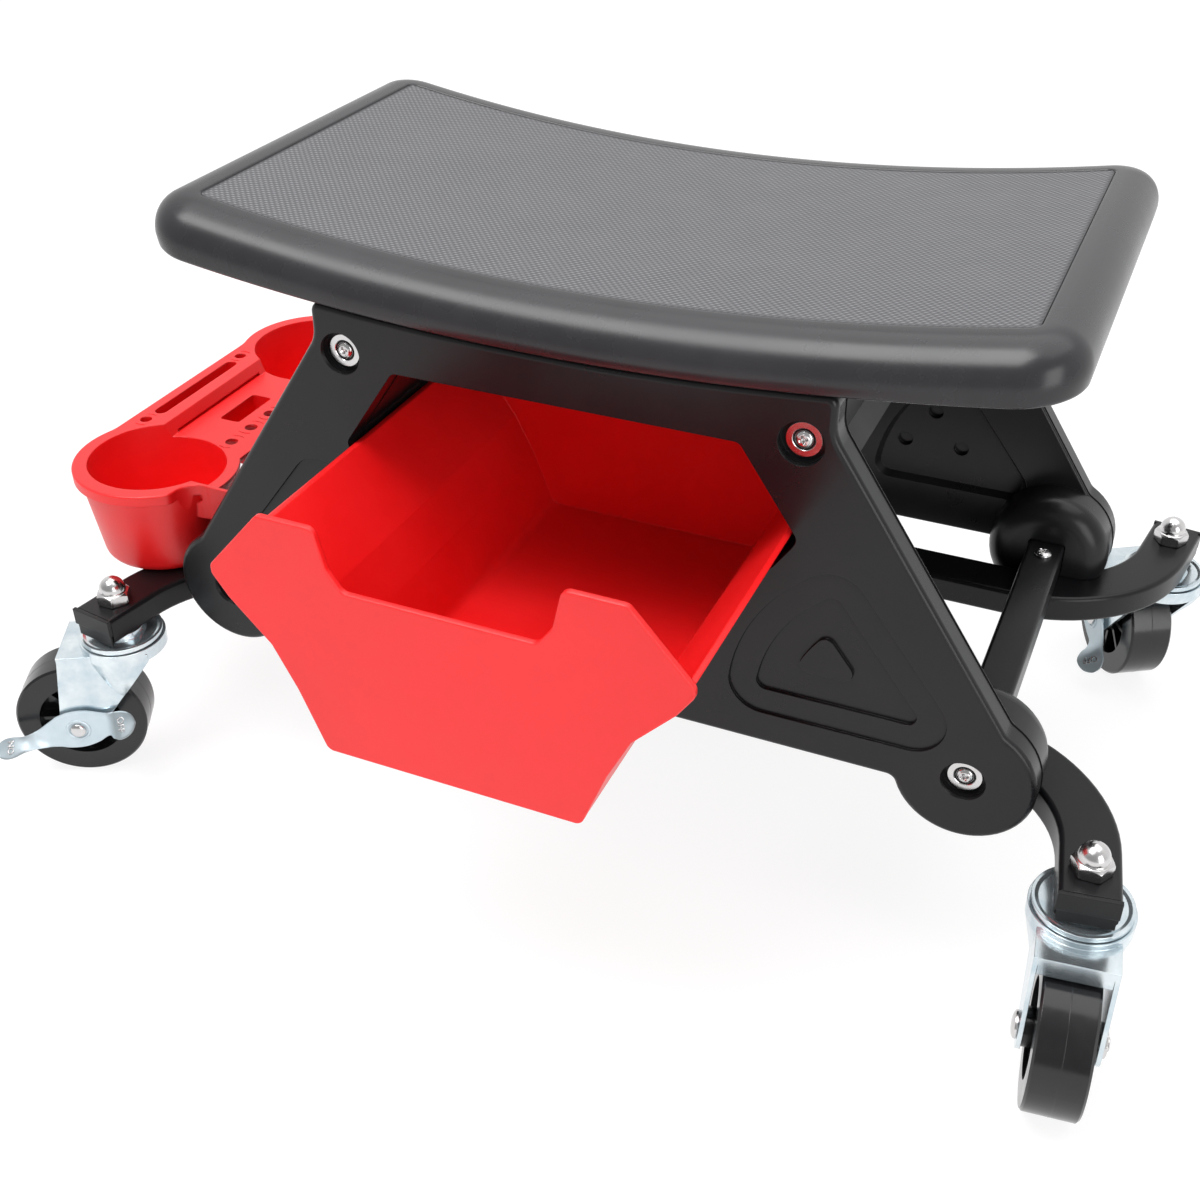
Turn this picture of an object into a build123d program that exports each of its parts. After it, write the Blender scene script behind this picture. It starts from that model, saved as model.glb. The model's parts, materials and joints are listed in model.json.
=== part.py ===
from build123d import *
import math
import os

os.makedirs("parts", exist_ok=True)

# Axes: +X along the seat to the right, +Y to the back, +Z up, ground at zero.

# Clearances
seat_gap = 0.3
run_gap = 0.06
slide_gap = 0.6

# Casters: 75 mm swivel castors on threaded stems
wheel_d = 75.0
wheel_w = 26.2
wheel_edge_r = 1.2
tread_wall = 13.5
web_half = 2.2
hub_r = 9.5
rib_t = 2.4
rib_half = 9.5
rib_count = 8
trail = 30.7
axle_z = wheel_d / 2
axle_r = 4.0
head_r = 7.0
head_t = 3.2
brake_head_r = 5.0
brake_head_t = 2.0
caster_x = 271.7
caster_y = 152.0
stem_r = 5.0
stem_top = 121.0
# directions of the forks as shares of a full turn, from +X towards +Y
swivel_turn_share = {"fl": 0.57778, "fr": -0.23139, "br": 0.33806, "bl": 0.65556}
braked = ("fl", "br")

# Fork, stamped sheet
sheet = 2.2
fork_inner = 16.6
dish_r = 24.4
dish_z = 85.6
dish_rim_z = 89.9
dish_flat_r = 18.5
dish_lip_r = 21.8
skirt_z = 82.5
flare_low_z = 58.0
leg_front_x = -16.6
leg_front_z = 81.7
leg_rear_x = 35.0
leg_rear_z = 83.0
leg_eye_r = 10.8
shoulder_z = 74.5
wheel_clear = 2.0

# Bearing race, king pin and stem
king_head_r = 8.0
king_head_t = 3.9
race_z = 88.1
race_r = 23.2
race_hub_r = 13.0
race_flat_r = 14.0
race_step_r = 19.0
race_step_z = 90.6
race_dish_z = 92.4
race_rim_z = 93.2
race_rim_t = 1.6

# Acorn nut, M10 with 17 mm across flats
nut_flats = 17.0
nut_h = 7.5
nut_dome_r = 8.1
nut_bore_top = 121.5

# Brake lever
lever_z_in = 20.2
lever_hub_r = 8.5
lever_plate_r = 13.0
lever_boss_h = 1.2
lever_long = 49.0
lever_tip_r = 6.5
lever_lobe_at = 27.0
lever_lobe_r = 9.0
lever_waist = 8.0
lever_turn_share = {"fl": 0.03333, "br": -0.125}

# Base tubes, flat oval section bent in plan
tube_w = 28.0
tube_h = 16.0
tube_wall = 1.5
tube_corner_r = 2.5
tube_top = 112.7
tube_run_y = 71.6
tube_bend_r = 76.0
tube_tail = 16.4
tube_tilt = 8.5
plug_insert = 7.0
plug_t = 2.2
plug_step = 1.0
plug_drop = 1.2
plug_upper_share = 0.62
insert_gap = 0.1

# Side panels
panel_face = 128.0
panel_t = 16.0
panel_edge_r = 3.0
panel_corner_r = 5.0
panel_knee_r = 18.0
panel_side_x = 131.0
side_ref_x = 230.7
side_ref_z = 142.0
side_slope = 0.676
side_end_z = 150.0
foot_x = 207.2
foot_z = 123.0
foot_r = 34.0
foot_blend_r = 8.0
foot_inner_r = 5.0
panel_bottom = 114.5
boss_round_r = 13.0
window_top_x = 88.1
window_top_z = 278.3
window_apex_x = 118.1
window_apex_z = 234.9
window_corner_r = 5.0
window_edge_r = 1.2
upper_x = 116.2
upper_z = 283.5
recess_r = 10.8
recess_depth = 6.0
bolt_hole_r = 3.3

# Moulded triangles on the panels
tri_bottom_z = 132.8
tri_left_x = 88.8
tri_right_x = 214.5
tri_apex_x = 141.0
tri_apex_z = 227.0
tri_bulge_x = 100.4
tri_bulge_z = 187.9
tri_round = 17.5
tri_depth = 1.6
tri_inset = 13.5
tri_inner_round = 5.0
tri_inner_depth = 1.8
isle_inset = 29.6
isle_round = 4.5
back_inset = 8.0
back_round = 10.0
back_depth = 4.5
dimple_r = 4.5
dimple_depth = 3.0
dimple_low_z = 166.0
dimple_high_z = 187.0
dimple_left_x = 113.0
dimple_right_x = 146.5
dimple_mid_x = 129.0

# Bars between the panels
bar_w = 20.0
bar_wall = 1.5
bar_corner_r = 2.0
bar_pocket_gap = 0.4
bar_end_y = 96.0

# Seat pad
seat_half_x = 228.0
seat_half_y = 130.8
seat_corner_r = 27.0
seat_taper = 3.0
seat_draw = 1.2
seat_margin = 4.0
seat_reach = seat_half_x + seat_margin
seat_low_mid = 302.3
seat_low_rise = 19.9
seat_thick = 23.8
seat_thick_rise = 4.3
seat_top_mid = seat_low_mid + seat_thick
seat_top_rise = seat_low_rise + seat_thick_rise
seat_edge_r = 20.0
seat_low_r = 2.5
seat_mat_x = 204.8
seat_mat_y = 106.0
seat_mat_r = 5.0
seat_mat_depth = 0.6
seat_rib_w = 16.0
seat_rib_y = 96.0
over = 40.0

# Drawer
drawer_face = 248.0
plate_t = 3.0
drawer_wall = 2.4
drawer_end_y = 4.0
low_x = 64.2
low_z = 144.5
mid_x = 76.5
mid_z = 176.0
knee_x = 87.5
knee_z = 198.0
rim_x = 114.0
rim_z = 235.0
ear_low_x = 107.0
ear_low_z = 218.5
ear_x = 114.5
ear_z = 229.5
ear_top_z = 234.0
tab_x = 85.8
tab_z = 265.7
notch_x = 57.5
notch_side_x = 53.0
notch_side_z = 246.0
notch_low_x = 46.0
notch_z = 236.3
plate_round = 4.5
plate_edge_r = 0.7
body_round = 8.0
back_wall_x = 86.0
back_wall_z = 262.0

# Runners that carry the drawer
runner_gap = 0.4
runner_t = 2.5
runner_open_x = 80.0
runner_open_z = 250.0
runner_floor_x = 46.0

# Tool tray
tray_x = 282.0
cup_y = 84.5
cup_rim_r = 48.6
cup_top_r = 40.0
cup_low_r = 33.0
cup_side_t = 5.4
cup_wall = 2.2
cup_floor_r = 6.0
tray_top = 170.0
lip_h = 6.5
tray_side_x = 327.5
shelf_z = 162.0
shelf_t = 2.4
shelf_rim_r = 46.5
shelf_inner_x = 245.0
wall_y = 103.5
wall_t = 2.2
wall_start_x = 262.0
wall_end_x = 200.0
wall_low = 148.0
wall_root_x = 245.6
wall_step_low = 155.2
wall_step_x = 237.8
wall_step_z = 160.1
bite_x = 235.0
bite_overlap = 0.4
side_blend_r = 30.0
bite_r = 12.5
bite_y = wall_y + bite_r - bite_overlap
bite_edge_r = 6.0
rail_inner_x = 303.0
rail_slope = 4.0
slot_x = 316.0
slot_w = 8.0
slot_half_y = 40.0
slot_depth = 34.0
rail_hole_r = 3.7
rail_hole_x = 317.5
rail_hole_y = 49.2
rail_block_x = 323.5
rail_block_low = 132.0
pocket_x = 280.0
pocket_w = 14.0
pocket_half_y = 18.0
pocket_depth = 26.0
pocket_wall = 2.2
bit_x = 262.0
bit_r = 3.9
bit_step = 20.3
bit_count = 5

pieces = []


def keep(builder, name):
    builder.part.label = name
    pieces.append(builder.part)


def mirrored(points):
    return list(points) + [(-x, z) for x, z in reversed(points)]


def grow(points, gap):
    """Moves every side of a closed outline, drawn anticlockwise, outward by gap."""
    result = []
    count = len(points)
    for i in range(count):
        ax, az = points[i - 1]
        bx, bz = points[i]
        cx, cz = points[(i + 1) % count]
        in_len = math.hypot(bx - ax, bz - az)
        out_len = math.hypot(cx - bx, cz - bz)
        n1x, n1z = (bz - az) / in_len, -(bx - ax) / in_len
        n2x, n2z = (cz - bz) / out_len, -(cx - bx) / out_len
        scale = gap / (1 + n1x * n2x + n1z * n2z)
        result.append((bx + (n1x + n2x) * scale, bz + (n1z + n2z) * scale))
    return result


def near(vertices, x, y, reach):
    return [v for v in vertices if abs(abs(v.X) - x) < reach and abs(v.Y - y) < reach]


def tangent_point(px, pz, cx, cz, r, turn):
    distance = math.hypot(cx - px, cz - pz)
    angle = math.atan2(cz - pz, cx - px) + turn * math.asin(r / distance)
    reach = math.sqrt(distance * distance - r * r)
    return (px + reach * math.cos(angle), pz + reach * math.sin(angle))


# Outline of the drawer's front plate below the ears, and of the window around it
plate_low = [(low_x, low_z), (mid_x, mid_z), (knee_x, knee_z), (ear_low_x, ear_low_z), (ear_x, ear_z)]
grown = grow(mirrored(plate_low), slide_gap)
window_low = grown[: len(plate_low)]
window_right = window_low + [(window_apex_x, window_apex_z), (window_top_x, window_top_z)]
window = mirrored(window_right)

def tube_end(side):
    """Middle of a base tube's right end and the direction in which it points."""
    tilt = math.radians(tube_tilt)
    ahead = (math.sin(tilt), side * math.cos(tilt))
    return (caster_x + tube_tail * ahead[0], side * caster_y + tube_tail * ahead[1]), ahead


def tube_path(side):
    """Centre line of a base tube: straight in the middle, both ends bent away and a little outward."""
    (end_x, end_y), ahead = tube_end(side)
    half_bend = math.radians(90 - tube_tilt) / 2
    to_corner = (caster_y - tube_run_y) / abs(ahead[1])
    corner_x = caster_x - to_corner * ahead[0]
    tangent = tube_bend_r * math.tan(half_bend)
    run_y = side * tube_run_y
    bend_x = corner_x - tangent
    mid_x = bend_x + tube_bend_r * math.sin(half_bend)
    mid_y = run_y + side * tube_bend_r * (1 - math.cos(half_bend))
    out_x = corner_x + tangent * ahead[0]
    out_y = run_y + tangent * ahead[1]
    with BuildLine(Plane.XY.offset(tube_top - tube_h / 2)) as path:
        Line((-end_x, end_y), (-out_x, out_y))
        ThreePointArc((-out_x, out_y), (-mid_x, mid_y), (-bend_x, run_y))
        Line((-bend_x, run_y), (bend_x, run_y))
        ThreePointArc((bend_x, run_y), (mid_x, mid_y), (out_x, out_y))
        Line((out_x, out_y), (end_x, end_y))
    return path


def tube_start(side):
    (end_x, end_y), ahead = tube_end(side)
    start = (-end_x, end_y, tube_top - tube_h / 2)
    return Plane(start, x_dir=(abs(ahead[1]), side * ahead[0], 0), z_dir=(ahead[0], -ahead[1], 0))


# Side panel: outer face with the window and raised rim, inner face with foot bosses
side_knee_z = side_ref_z + (side_ref_x - panel_side_x) / side_slope
side_end_x = side_ref_x - side_slope * (side_end_z - side_ref_z)
panel_top_mid = seat_low_mid - seat_gap
corner_rise = seat_low_rise * (panel_side_x / seat_reach) ** 2
panel_corner_z = panel_top_mid + corner_rise
boss_face = tube_run_y + tube_w / 2 + seat_gap
dimples = [
    (dimple_left_x, dimple_low_z),
    (dimple_right_x, dimple_low_z),
    (dimple_mid_x, dimple_high_z),
]


def rounded_triangle(side, inset, radius):
    """Moulded triangle with a bulging side towards the window, drawn inset from its largest outline."""
    with BuildSketch(mode=Mode.PRIVATE) as shape:
        with BuildLine():
            ThreePointArc(
                (side * tri_left_x, tri_bottom_z),
                (side * tri_bulge_x, tri_bulge_z),
                (side * tri_apex_x, tri_apex_z),
            )
            Polyline(
                (side * tri_apex_x, tri_apex_z),
                (side * tri_right_x, tri_bottom_z),
                (side * tri_left_x, tri_bottom_z),
            )
        make_face()
        if inset:
            offset(amount=-inset, kind=Kind.INTERSECTION, mode=Mode.REPLACE)
        fillet(shape.vertices(), radius)
    return shape.sketch


def make_panel():
    outer = Plane.XZ.offset(panel_face)
    inner = Plane.XZ.offset(panel_face - panel_t)
    # foot boss that stands against the base tube, made lying and turned to face the tube
    boss = Cylinder(foot_r, panel_face - panel_t / 2 - boss_face)
    boss = fillet(boss.edges().sort_by(Axis.Z)[-1], boss_round_r)
    boss_y = -(panel_face - panel_t / 2 + boss_face) / 2
    with BuildPart() as panel:
        with BuildSketch(outer) as outline:
            with BuildLine():
                ThreePointArc(
                    (-panel_side_x, panel_corner_z), (0, panel_top_mid), (panel_side_x, panel_corner_z)
                )
                right = [
                    (panel_side_x, panel_corner_z),
                    (panel_side_x, side_knee_z),
                    (side_end_x, side_end_z),
                    (foot_x, foot_z),
                    (foot_x, panel_bottom),
                ]
                Polyline(*mirrored(right))
            make_face()
            with Locations((foot_x, foot_z), (-foot_x, foot_z)):
                Circle(foot_r)
            fillet(near(outline.vertices(), panel_side_x, panel_corner_z, panel_corner_r), panel_corner_r)
            fillet(near(outline.vertices(), panel_side_x, side_knee_z, panel_corner_r), panel_knee_r)
            shoulder = [v for v in outline.vertices() if abs(v.X) > foot_x and v.Y > foot_z + foot_r / 2]
            fillet(shoulder, foot_blend_r)
            crotch = [v for v in outline.vertices() if abs(v.Y - panel_bottom) < foot_inner_r]
            fillet(crotch, foot_inner_r)
        extrude(amount=-panel_t)
        fillet(panel.faces().sort_by(Axis.Y)[0].edges(), panel_edge_r)
        fillet(panel.faces().sort_by(Axis.Y)[-1].edges(), panel_edge_r / 2)
        for side in (1, -1):
            add(boss.moved(Location((side * foot_x, boss_y, foot_z), (-90, 0, 0))))
        # saddle in the bosses for the bends of the base tube
        with BuildSketch(tube_start(-1)):
            Rectangle(tube_w + 2 * seat_gap, tube_h + 2 * seat_gap)
        sweep(path=tube_path(-1).line, mode=Mode.SUBTRACT)
        # window
        with BuildSketch(outer):
            with BuildLine():
                FilletPolyline(*window, radius=window_corner_r, close=True)
            make_face()
        extrude(amount=-panel_t, mode=Mode.SUBTRACT)
        # pockets for the lower crossbars
        with BuildSketch(Plane.XZ.offset(boss_face)):
            with Locations((foot_x, foot_z), (-foot_x, foot_z)):
                RectangleRounded(bar_w + 2 * bar_pocket_gap, bar_w + 2 * bar_pocket_gap, bar_corner_r)
        extrude(amount=bar_end_y + seat_gap - boss_face, mode=Mode.SUBTRACT)
        # bolt recesses and holes
        spots = [(upper_x, upper_z), (-upper_x, upper_z), (foot_x, foot_z), (-foot_x, foot_z)]
        with BuildSketch(outer):
            with Locations(*spots):
                Circle(recess_r)
        extrude(amount=-recess_depth, mode=Mode.SUBTRACT)
        with BuildSketch(outer):
            with Locations(*spots):
                Circle(bolt_hole_r)
        extrude(amount=-(panel_face - boss_face + seat_gap), mode=Mode.SUBTRACT)
        for side in (1, -1):
            # two steps down on the outer face and a small raised triangle
            with BuildSketch(outer):
                add(rounded_triangle(side, 0, tri_round))
            extrude(amount=-tri_depth, mode=Mode.SUBTRACT)
            with BuildSketch(outer.offset(-tri_depth)):
                add(rounded_triangle(side, tri_inset, tri_inner_round))
                add(rounded_triangle(side, isle_inset, isle_round), mode=Mode.SUBTRACT)
            extrude(amount=-tri_inner_depth, mode=Mode.SUBTRACT)
            # the same triangle on the inner face, deeper, with three dimples
            with BuildSketch(inner):
                add(rounded_triangle(side, back_inset, back_round))
            extrude(amount=back_depth, taper=30, mode=Mode.SUBTRACT)
            with BuildSketch(inner.offset(back_depth)):
                with Locations(*[(side * x, z) for x, z in dimples]):
                    Circle(dimple_r)
            extrude(amount=dimple_depth, mode=Mode.SUBTRACT)
    return panel


panel_front = make_panel()
keep(panel_front, "panel_front")
with BuildPart() as panel_back:
    add(mirror(panel_front.part, about=Plane.XZ))
keep(panel_back, "panel_back")

# Seat pad: saddle shaped slab with a fat rounded border and two mounting ribs
with BuildPart() as seat_pad:
    with BuildSketch(Plane.XY.offset(seat_low_mid)):
        RectangleRounded(2 * (seat_half_x - seat_draw), 2 * (seat_half_y - seat_draw), seat_corner_r)
    extrude(amount=seat_top_mid + seat_top_rise - seat_low_mid, taper=-seat_taper)
    with BuildSketch(Plane.XZ.offset(-seat_half_y - over)):
        with BuildLine():
            low = ThreePointArc(
                (-seat_reach, seat_low_mid + seat_low_rise),
                (0, seat_low_mid),
                (seat_reach, seat_low_mid + seat_low_rise),
            )
            top = ThreePointArc(
                (-seat_reach, seat_top_mid + seat_top_rise),
                (0, seat_top_mid),
                (seat_reach, seat_top_mid + seat_top_rise),
            )
            Line(low @ 0, top @ 0)
            Line(low @ 1, top @ 1)
        make_face()
    extrude(amount=2 * (seat_half_y + over), mode=Mode.INTERSECT)
    broad = seat_pad.faces().sort_by(SortBy.AREA)[-2:].sort_by(Axis.Z)
    fillet(broad[-1].edges(), seat_edge_r)
    broad = seat_pad.faces().sort_by(SortBy.AREA)[-2:].sort_by(Axis.Z)
    fillet(broad[0].edges(), seat_low_r)
    # ribs under the pad that sit on the upper bars
    with BuildSketch(Plane.XY.offset(upper_z + bar_w / 2 + seat_gap)):
        with Locations((upper_x, 0), (-upper_x, 0)):
            Rectangle(seat_rib_w, 2 * seat_rib_y)
    extrude(amount=seat_low_mid + seat_low_rise - upper_z - bar_w / 2 - seat_low_r)
keep(seat_pad, "seat_pad")


def make_bar(x, z, half_length):
    with BuildPart() as bar:
        with BuildSketch(Plane.XZ.offset(half_length)):
            with Locations((x, z)):
                RectangleRounded(bar_w, bar_w, bar_corner_r)
                inside = bar_w - 2 * bar_wall
                RectangleRounded(inside, inside, bar_corner_r - bar_wall, mode=Mode.SUBTRACT)
        extrude(amount=-2 * half_length)
    return bar


for side, word in ((-1, "left"), (1, "right")):
    keep(make_bar(side * foot_x, foot_z, bar_end_y), "crossbar_" + word)
    keep(make_bar(side * upper_x, upper_z, panel_face - panel_t - seat_gap), "upper_bar_" + word)


def make_tube(side):
    with BuildPart() as tube:
        with BuildSketch(tube_start(side)):
            RectangleRounded(tube_w, tube_h, tube_corner_r)
            inner_r = tube_corner_r - tube_wall
            RectangleRounded(tube_w - 2 * tube_wall, tube_h - 2 * tube_wall, inner_r, mode=Mode.SUBTRACT)
        sweep(path=tube_path(side).line)
        with BuildSketch(Plane.XY.offset(tube_top)):
            with Locations((caster_x, side * caster_y), (-caster_x, side * caster_y)):
                Circle(stem_r + seat_gap)
        extrude(amount=-tube_h, mode=Mode.SUBTRACT)
    return tube


keep(make_tube(-1), "base_tube_front")
keep(make_tube(1), "base_tube_back")


def make_plug(hand, side):
    (end_x, end_y), ahead = tube_end(side)
    out_x = hand * ahead[0]
    middle = (hand * end_x, end_y, tube_top - tube_h / 2)
    face = Plane(middle, x_dir=(-ahead[1], out_x, 0), z_dir=(out_x, ahead[1], 0))
    upper = tube_h * plug_upper_share
    lower = tube_h - upper + plug_drop
    with BuildPart() as plug:
        with BuildSketch(face.offset(seat_gap)):
            with Locations((0, (tube_h - upper) / 2)):
                Rectangle(tube_w, upper)
        extrude(amount=plug_t)
        with BuildSketch(face.offset(seat_gap)):
            with Locations((0, -(upper + plug_drop) / 2)):
                Rectangle(tube_w - 2 * plug_step, lower)
        extrude(amount=plug_t - plug_step)
        with BuildSketch(face.offset(seat_gap)):
            room = 2 * (tube_wall + insert_gap)
            RectangleRounded(tube_w - room, tube_h - room, tube_corner_r - tube_wall)
        extrude(amount=-plug_insert)
    return plug


corners = {
    "fl": (-caster_x, -caster_y),
    "fr": (caster_x, -caster_y),
    "br": (caster_x, caster_y),
    "bl": (-caster_x, caster_y),
}


def make_stem():
    profile = [
        (0, dish_z - seat_gap - king_head_t),
        (king_head_r, dish_z - seat_gap - king_head_t),
        (king_head_r, dish_z - seat_gap),
        (stem_r, dish_z - seat_gap),
        (stem_r, race_z),
        (race_flat_r, race_z),
        (race_step_r, race_step_z),
        (race_r, race_step_z),
        (race_r, race_rim_z),
        (race_r - race_rim_t, race_rim_z),
        (race_r - 2 * race_rim_t, race_dish_z),
        (race_flat_r, race_dish_z),
        (race_hub_r, tube_top - tube_h - seat_gap),
        (stem_r, tube_top - tube_h - seat_gap),
        (stem_r, stem_top),
        (0, stem_top),
    ]
    with BuildPart() as stem:
        with BuildSketch(Plane.XZ):
            with BuildLine():
                Polyline(*profile, close=True)
            make_face()
        revolve(axis=Axis.Z)
    return stem


def make_nut():
    base = tube_top + seat_gap
    with BuildPart() as nut:
        with BuildSketch(Plane.XY.offset(base)):
            RegularPolygon(nut_flats / 2, 6, major_radius=False)
        extrude(amount=nut_h)
        with BuildSketch(Plane.XZ):
            with BuildLine():
                arc = CenterArc((0, base + nut_h), nut_dome_r, 0, 90)
                Polyline(arc @ 1, (0, base + nut_h), arc @ 0)
            make_face()
        revolve(axis=Axis.Z)
        with BuildSketch(Plane.XY.offset(base)):
            Circle(stem_r + run_gap)
        extrude(amount=nut_bore_top - base, mode=Mode.SUBTRACT)
    return nut


def leg_outline():
    """Side view of a fork leg, tapering from the dish to a round eye at the axle."""
    front = (leg_front_x, leg_front_z)
    rear = (leg_rear_x, leg_rear_z)
    top = dish_z + sheet / 2
    low_front = tangent_point(front[0], front[1], trail, axle_z, leg_eye_r, -1)
    low_rear = tangent_point(rear[0], rear[1], trail, axle_z, leg_eye_r, 1)
    return [(front[0], top), front, low_front, low_rear, rear, (rear[0], top)]


def make_fork():
    profile = [
        (stem_r + run_gap, dish_z),
        (dish_r - sheet, dish_z),
        (dish_r - sheet, skirt_z),
        (dish_r, skirt_z),
        (dish_r, dish_rim_z),
        (dish_lip_r, dish_rim_z),
        (dish_flat_r, dish_z + sheet),
        (stem_r + run_gap, dish_z + sheet),
    ]
    # flare of the sides, from the skirt of the dish down to the flat of the legs
    outer = fork_inner + sheet
    slope = [
        (dish_r, dish_z),
        (dish_r - sheet, dish_z),
        (dish_r - sheet, skirt_z),
        (fork_inner, flare_low_z),
        (outer, flare_low_z),
        (dish_r, skirt_z),
    ]
    leg_face = make_face(Plane.XZ * Polyline(*leg_outline(), close=True))
    flare = revolve(make_face(Plane.XZ * Polyline(*slope, close=True)), Axis.Z)
    flare = flare & extrude(leg_face, amount=2 * dish_r, both=True)
    flare = flare - Box(4 * dish_r, 2 * fork_inner, 2 * skirt_z)
    with BuildPart() as fork:
        with BuildSketch(Plane.XZ):
            with BuildLine():
                Polyline(*profile, close=True)
            make_face()
        revolve(axis=Axis.Z)
        for side in (1, -1):
            face = Plane((0, side * fork_inner, 0), x_dir=(1, 0, 0), z_dir=(0, -1, 0))
            with BuildSketch(face):
                with BuildLine():
                    Polyline(*leg_outline(), close=True)
                make_face()
                with Locations((trail, axle_z)):
                    Circle(leg_eye_r)
            extrude(amount=-side * sheet)
        add(flare)
        # shoulder over the wheel
        width = 2 * (fork_inner + sheet)
        with BuildSketch(Plane.XY.offset(shoulder_z)):
            with Locations((leg_rear_x / 2 + dish_flat_r / 2, 0)):
                Rectangle(leg_rear_x - dish_flat_r, width)
        extrude(amount=dish_z + sheet / 2 - shoulder_z)
        with BuildSketch(Plane.XY.offset(shoulder_z)):
            with Locations((leg_rear_x / 2 - sheet / 2, 0)):
                Rectangle(leg_rear_x - sheet, 2 * fork_inner)
        extrude(amount=dish_z - sheet - shoulder_z, mode=Mode.SUBTRACT)
        with BuildSketch(Plane.XZ.offset(-fork_inner)):
            with Locations((trail, axle_z)):
                Circle(axle_z + wheel_clear)
        extrude(amount=2 * fork_inner, mode=Mode.SUBTRACT)
        with BuildSketch(Plane.XY.offset(dish_z - seat_gap)):
            Circle(king_head_r + wheel_clear)
        extrude(amount=-(dish_z - skirt_z), mode=Mode.SUBTRACT)
        with BuildSketch(Plane.XZ.offset(-2 * fork_inner)):
            with Locations((trail, axle_z)):
                Circle(axle_r + run_gap)
        extrude(amount=4 * fork_inner, mode=Mode.SUBTRACT)
    return fork


def make_axle(has_brake):
    far_end = fork_inner + sheet
    near_end = lever_z_in + sheet + lever_boss_h if has_brake else far_end
    near_r, near_t = (brake_head_r, brake_head_t) if has_brake else (head_r, head_t)
    with BuildPart() as axle:
        with BuildSketch(Plane.XZ.offset(far_end + head_t)):
            with Locations((trail, axle_z)):
                Circle(axle_r)
        extrude(amount=-(far_end + head_t + near_end + seat_gap))
        with BuildSketch(Plane.XZ.offset(far_end + seat_gap)):
            with Locations((trail, axle_z)):
                Circle(head_r)
        extrude(amount=head_t)
        with BuildSketch(Plane.XZ.offset(-near_end - seat_gap)):
            with Locations((trail, axle_z)):
                Circle(near_r)
        extrude(amount=-near_t)
    return axle


def make_wheel():
    r = wheel_d / 2
    rim = r - tread_wall
    half = wheel_w / 2
    hub_half = fork_inner - seat_gap
    spoke = rim - hub_r
    profile = [
        (axle_r + run_gap, -hub_half),
        (hub_r, -hub_half),
        (hub_r, -web_half),
        (rim, -web_half),
        (rim, -half),
        (r - wheel_edge_r, -half),
        (r, wheel_edge_r - half),
        (r, half - wheel_edge_r),
        (r - wheel_edge_r, half),
        (rim, half),
        (rim, web_half),
        (hub_r, web_half),
        (hub_r, hub_half),
        (axle_r + run_gap, hub_half),
    ]
    with BuildPart() as wheel:
        with BuildSketch(Plane.XY):
            with BuildLine():
                Polyline(*profile, close=True)
            make_face()
        revolve(axis=Axis.Y)
        for side in (1, -1):
            with BuildSketch(Plane.XZ.offset(side * web_half)):
                with PolarLocations(hub_r + spoke / 2, rib_count):
                    Rectangle(spoke + 2 * wheel_edge_r, rib_t)
            extrude(amount=side * (rib_half - web_half))
    return wheel


def make_lever(turn):
    low = lever_z_in
    with BuildPart() as lever:
        with BuildSketch(Plane((0, low, 0), x_dir=(1, 0, 0), z_dir=(0, -1, 0))) as blade:
            Circle(lever_plate_r)
            with Locations((-lever_lobe_at, 0)):
                Circle(lever_lobe_r)
            with Locations((lever_long - lever_tip_r, 0)):
                Circle(lever_tip_r)
            with BuildLine():
                Polyline(
                    (-lever_lobe_at, -lever_waist),
                    (0, -lever_plate_r + sheet),
                    (lever_long - lever_tip_r, -lever_tip_r),
                    (lever_long - lever_tip_r, lever_tip_r),
                    (0, lever_plate_r - sheet),
                    (-lever_lobe_at, lever_waist),
                    close=True,
                )
            make_face()
        extrude(amount=-sheet)
        with BuildSketch(Plane((0, fork_inner + sheet + seat_gap, 0), x_dir=(1, 0, 0), z_dir=(0, -1, 0))):
            Circle(lever_hub_r)
        extrude(amount=-(low + sheet + lever_boss_h - fork_inner - sheet - seat_gap))
        with BuildSketch(Plane.XZ):
            Circle(axle_r + run_gap)
        extrude(amount=-(low + over), mode=Mode.SUBTRACT)
    return lever.part.rotate(Axis.Y, turn).moved(Location((trail, 0, axle_z)))


stem_body = make_stem()
nut_body = make_nut()
fork_body = make_fork()
wheel_body = make_wheel()
for corner, (cx, cy) in corners.items():
    place = Location((cx, cy, 0), (0, 0, 360 * swivel_turn_share[corner]))
    with BuildPart() as stem:
        add(stem_body.part.moved(Location((cx, cy, 0))))
    keep(stem, "caster_stem_" + corner)
    with BuildPart() as nut:
        add(nut_body.part.moved(Location((cx, cy, 0))))
    keep(nut, "acorn_nut_" + corner)
    with BuildPart() as fork:
        add(fork_body.part.moved(place))
    keep(fork, "fork_" + corner)
    with BuildPart() as axle:
        add(make_axle(corner in braked).part.moved(place))
    keep(axle, "axle_" + corner)
    with BuildPart() as wheel:
        add(wheel_body.part.moved(place * Location((trail, 0, axle_z))))
    keep(wheel, "wheel_" + corner)
    if corner in braked:
        with BuildPart() as lever:
            add(make_lever(360 * lever_turn_share[corner]).moved(place))
        keep(lever, "brake_lever_" + corner)
    keep(make_plug(math.copysign(1, cx), math.copysign(1, cy)), "tube_plug_" + corner)

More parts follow.
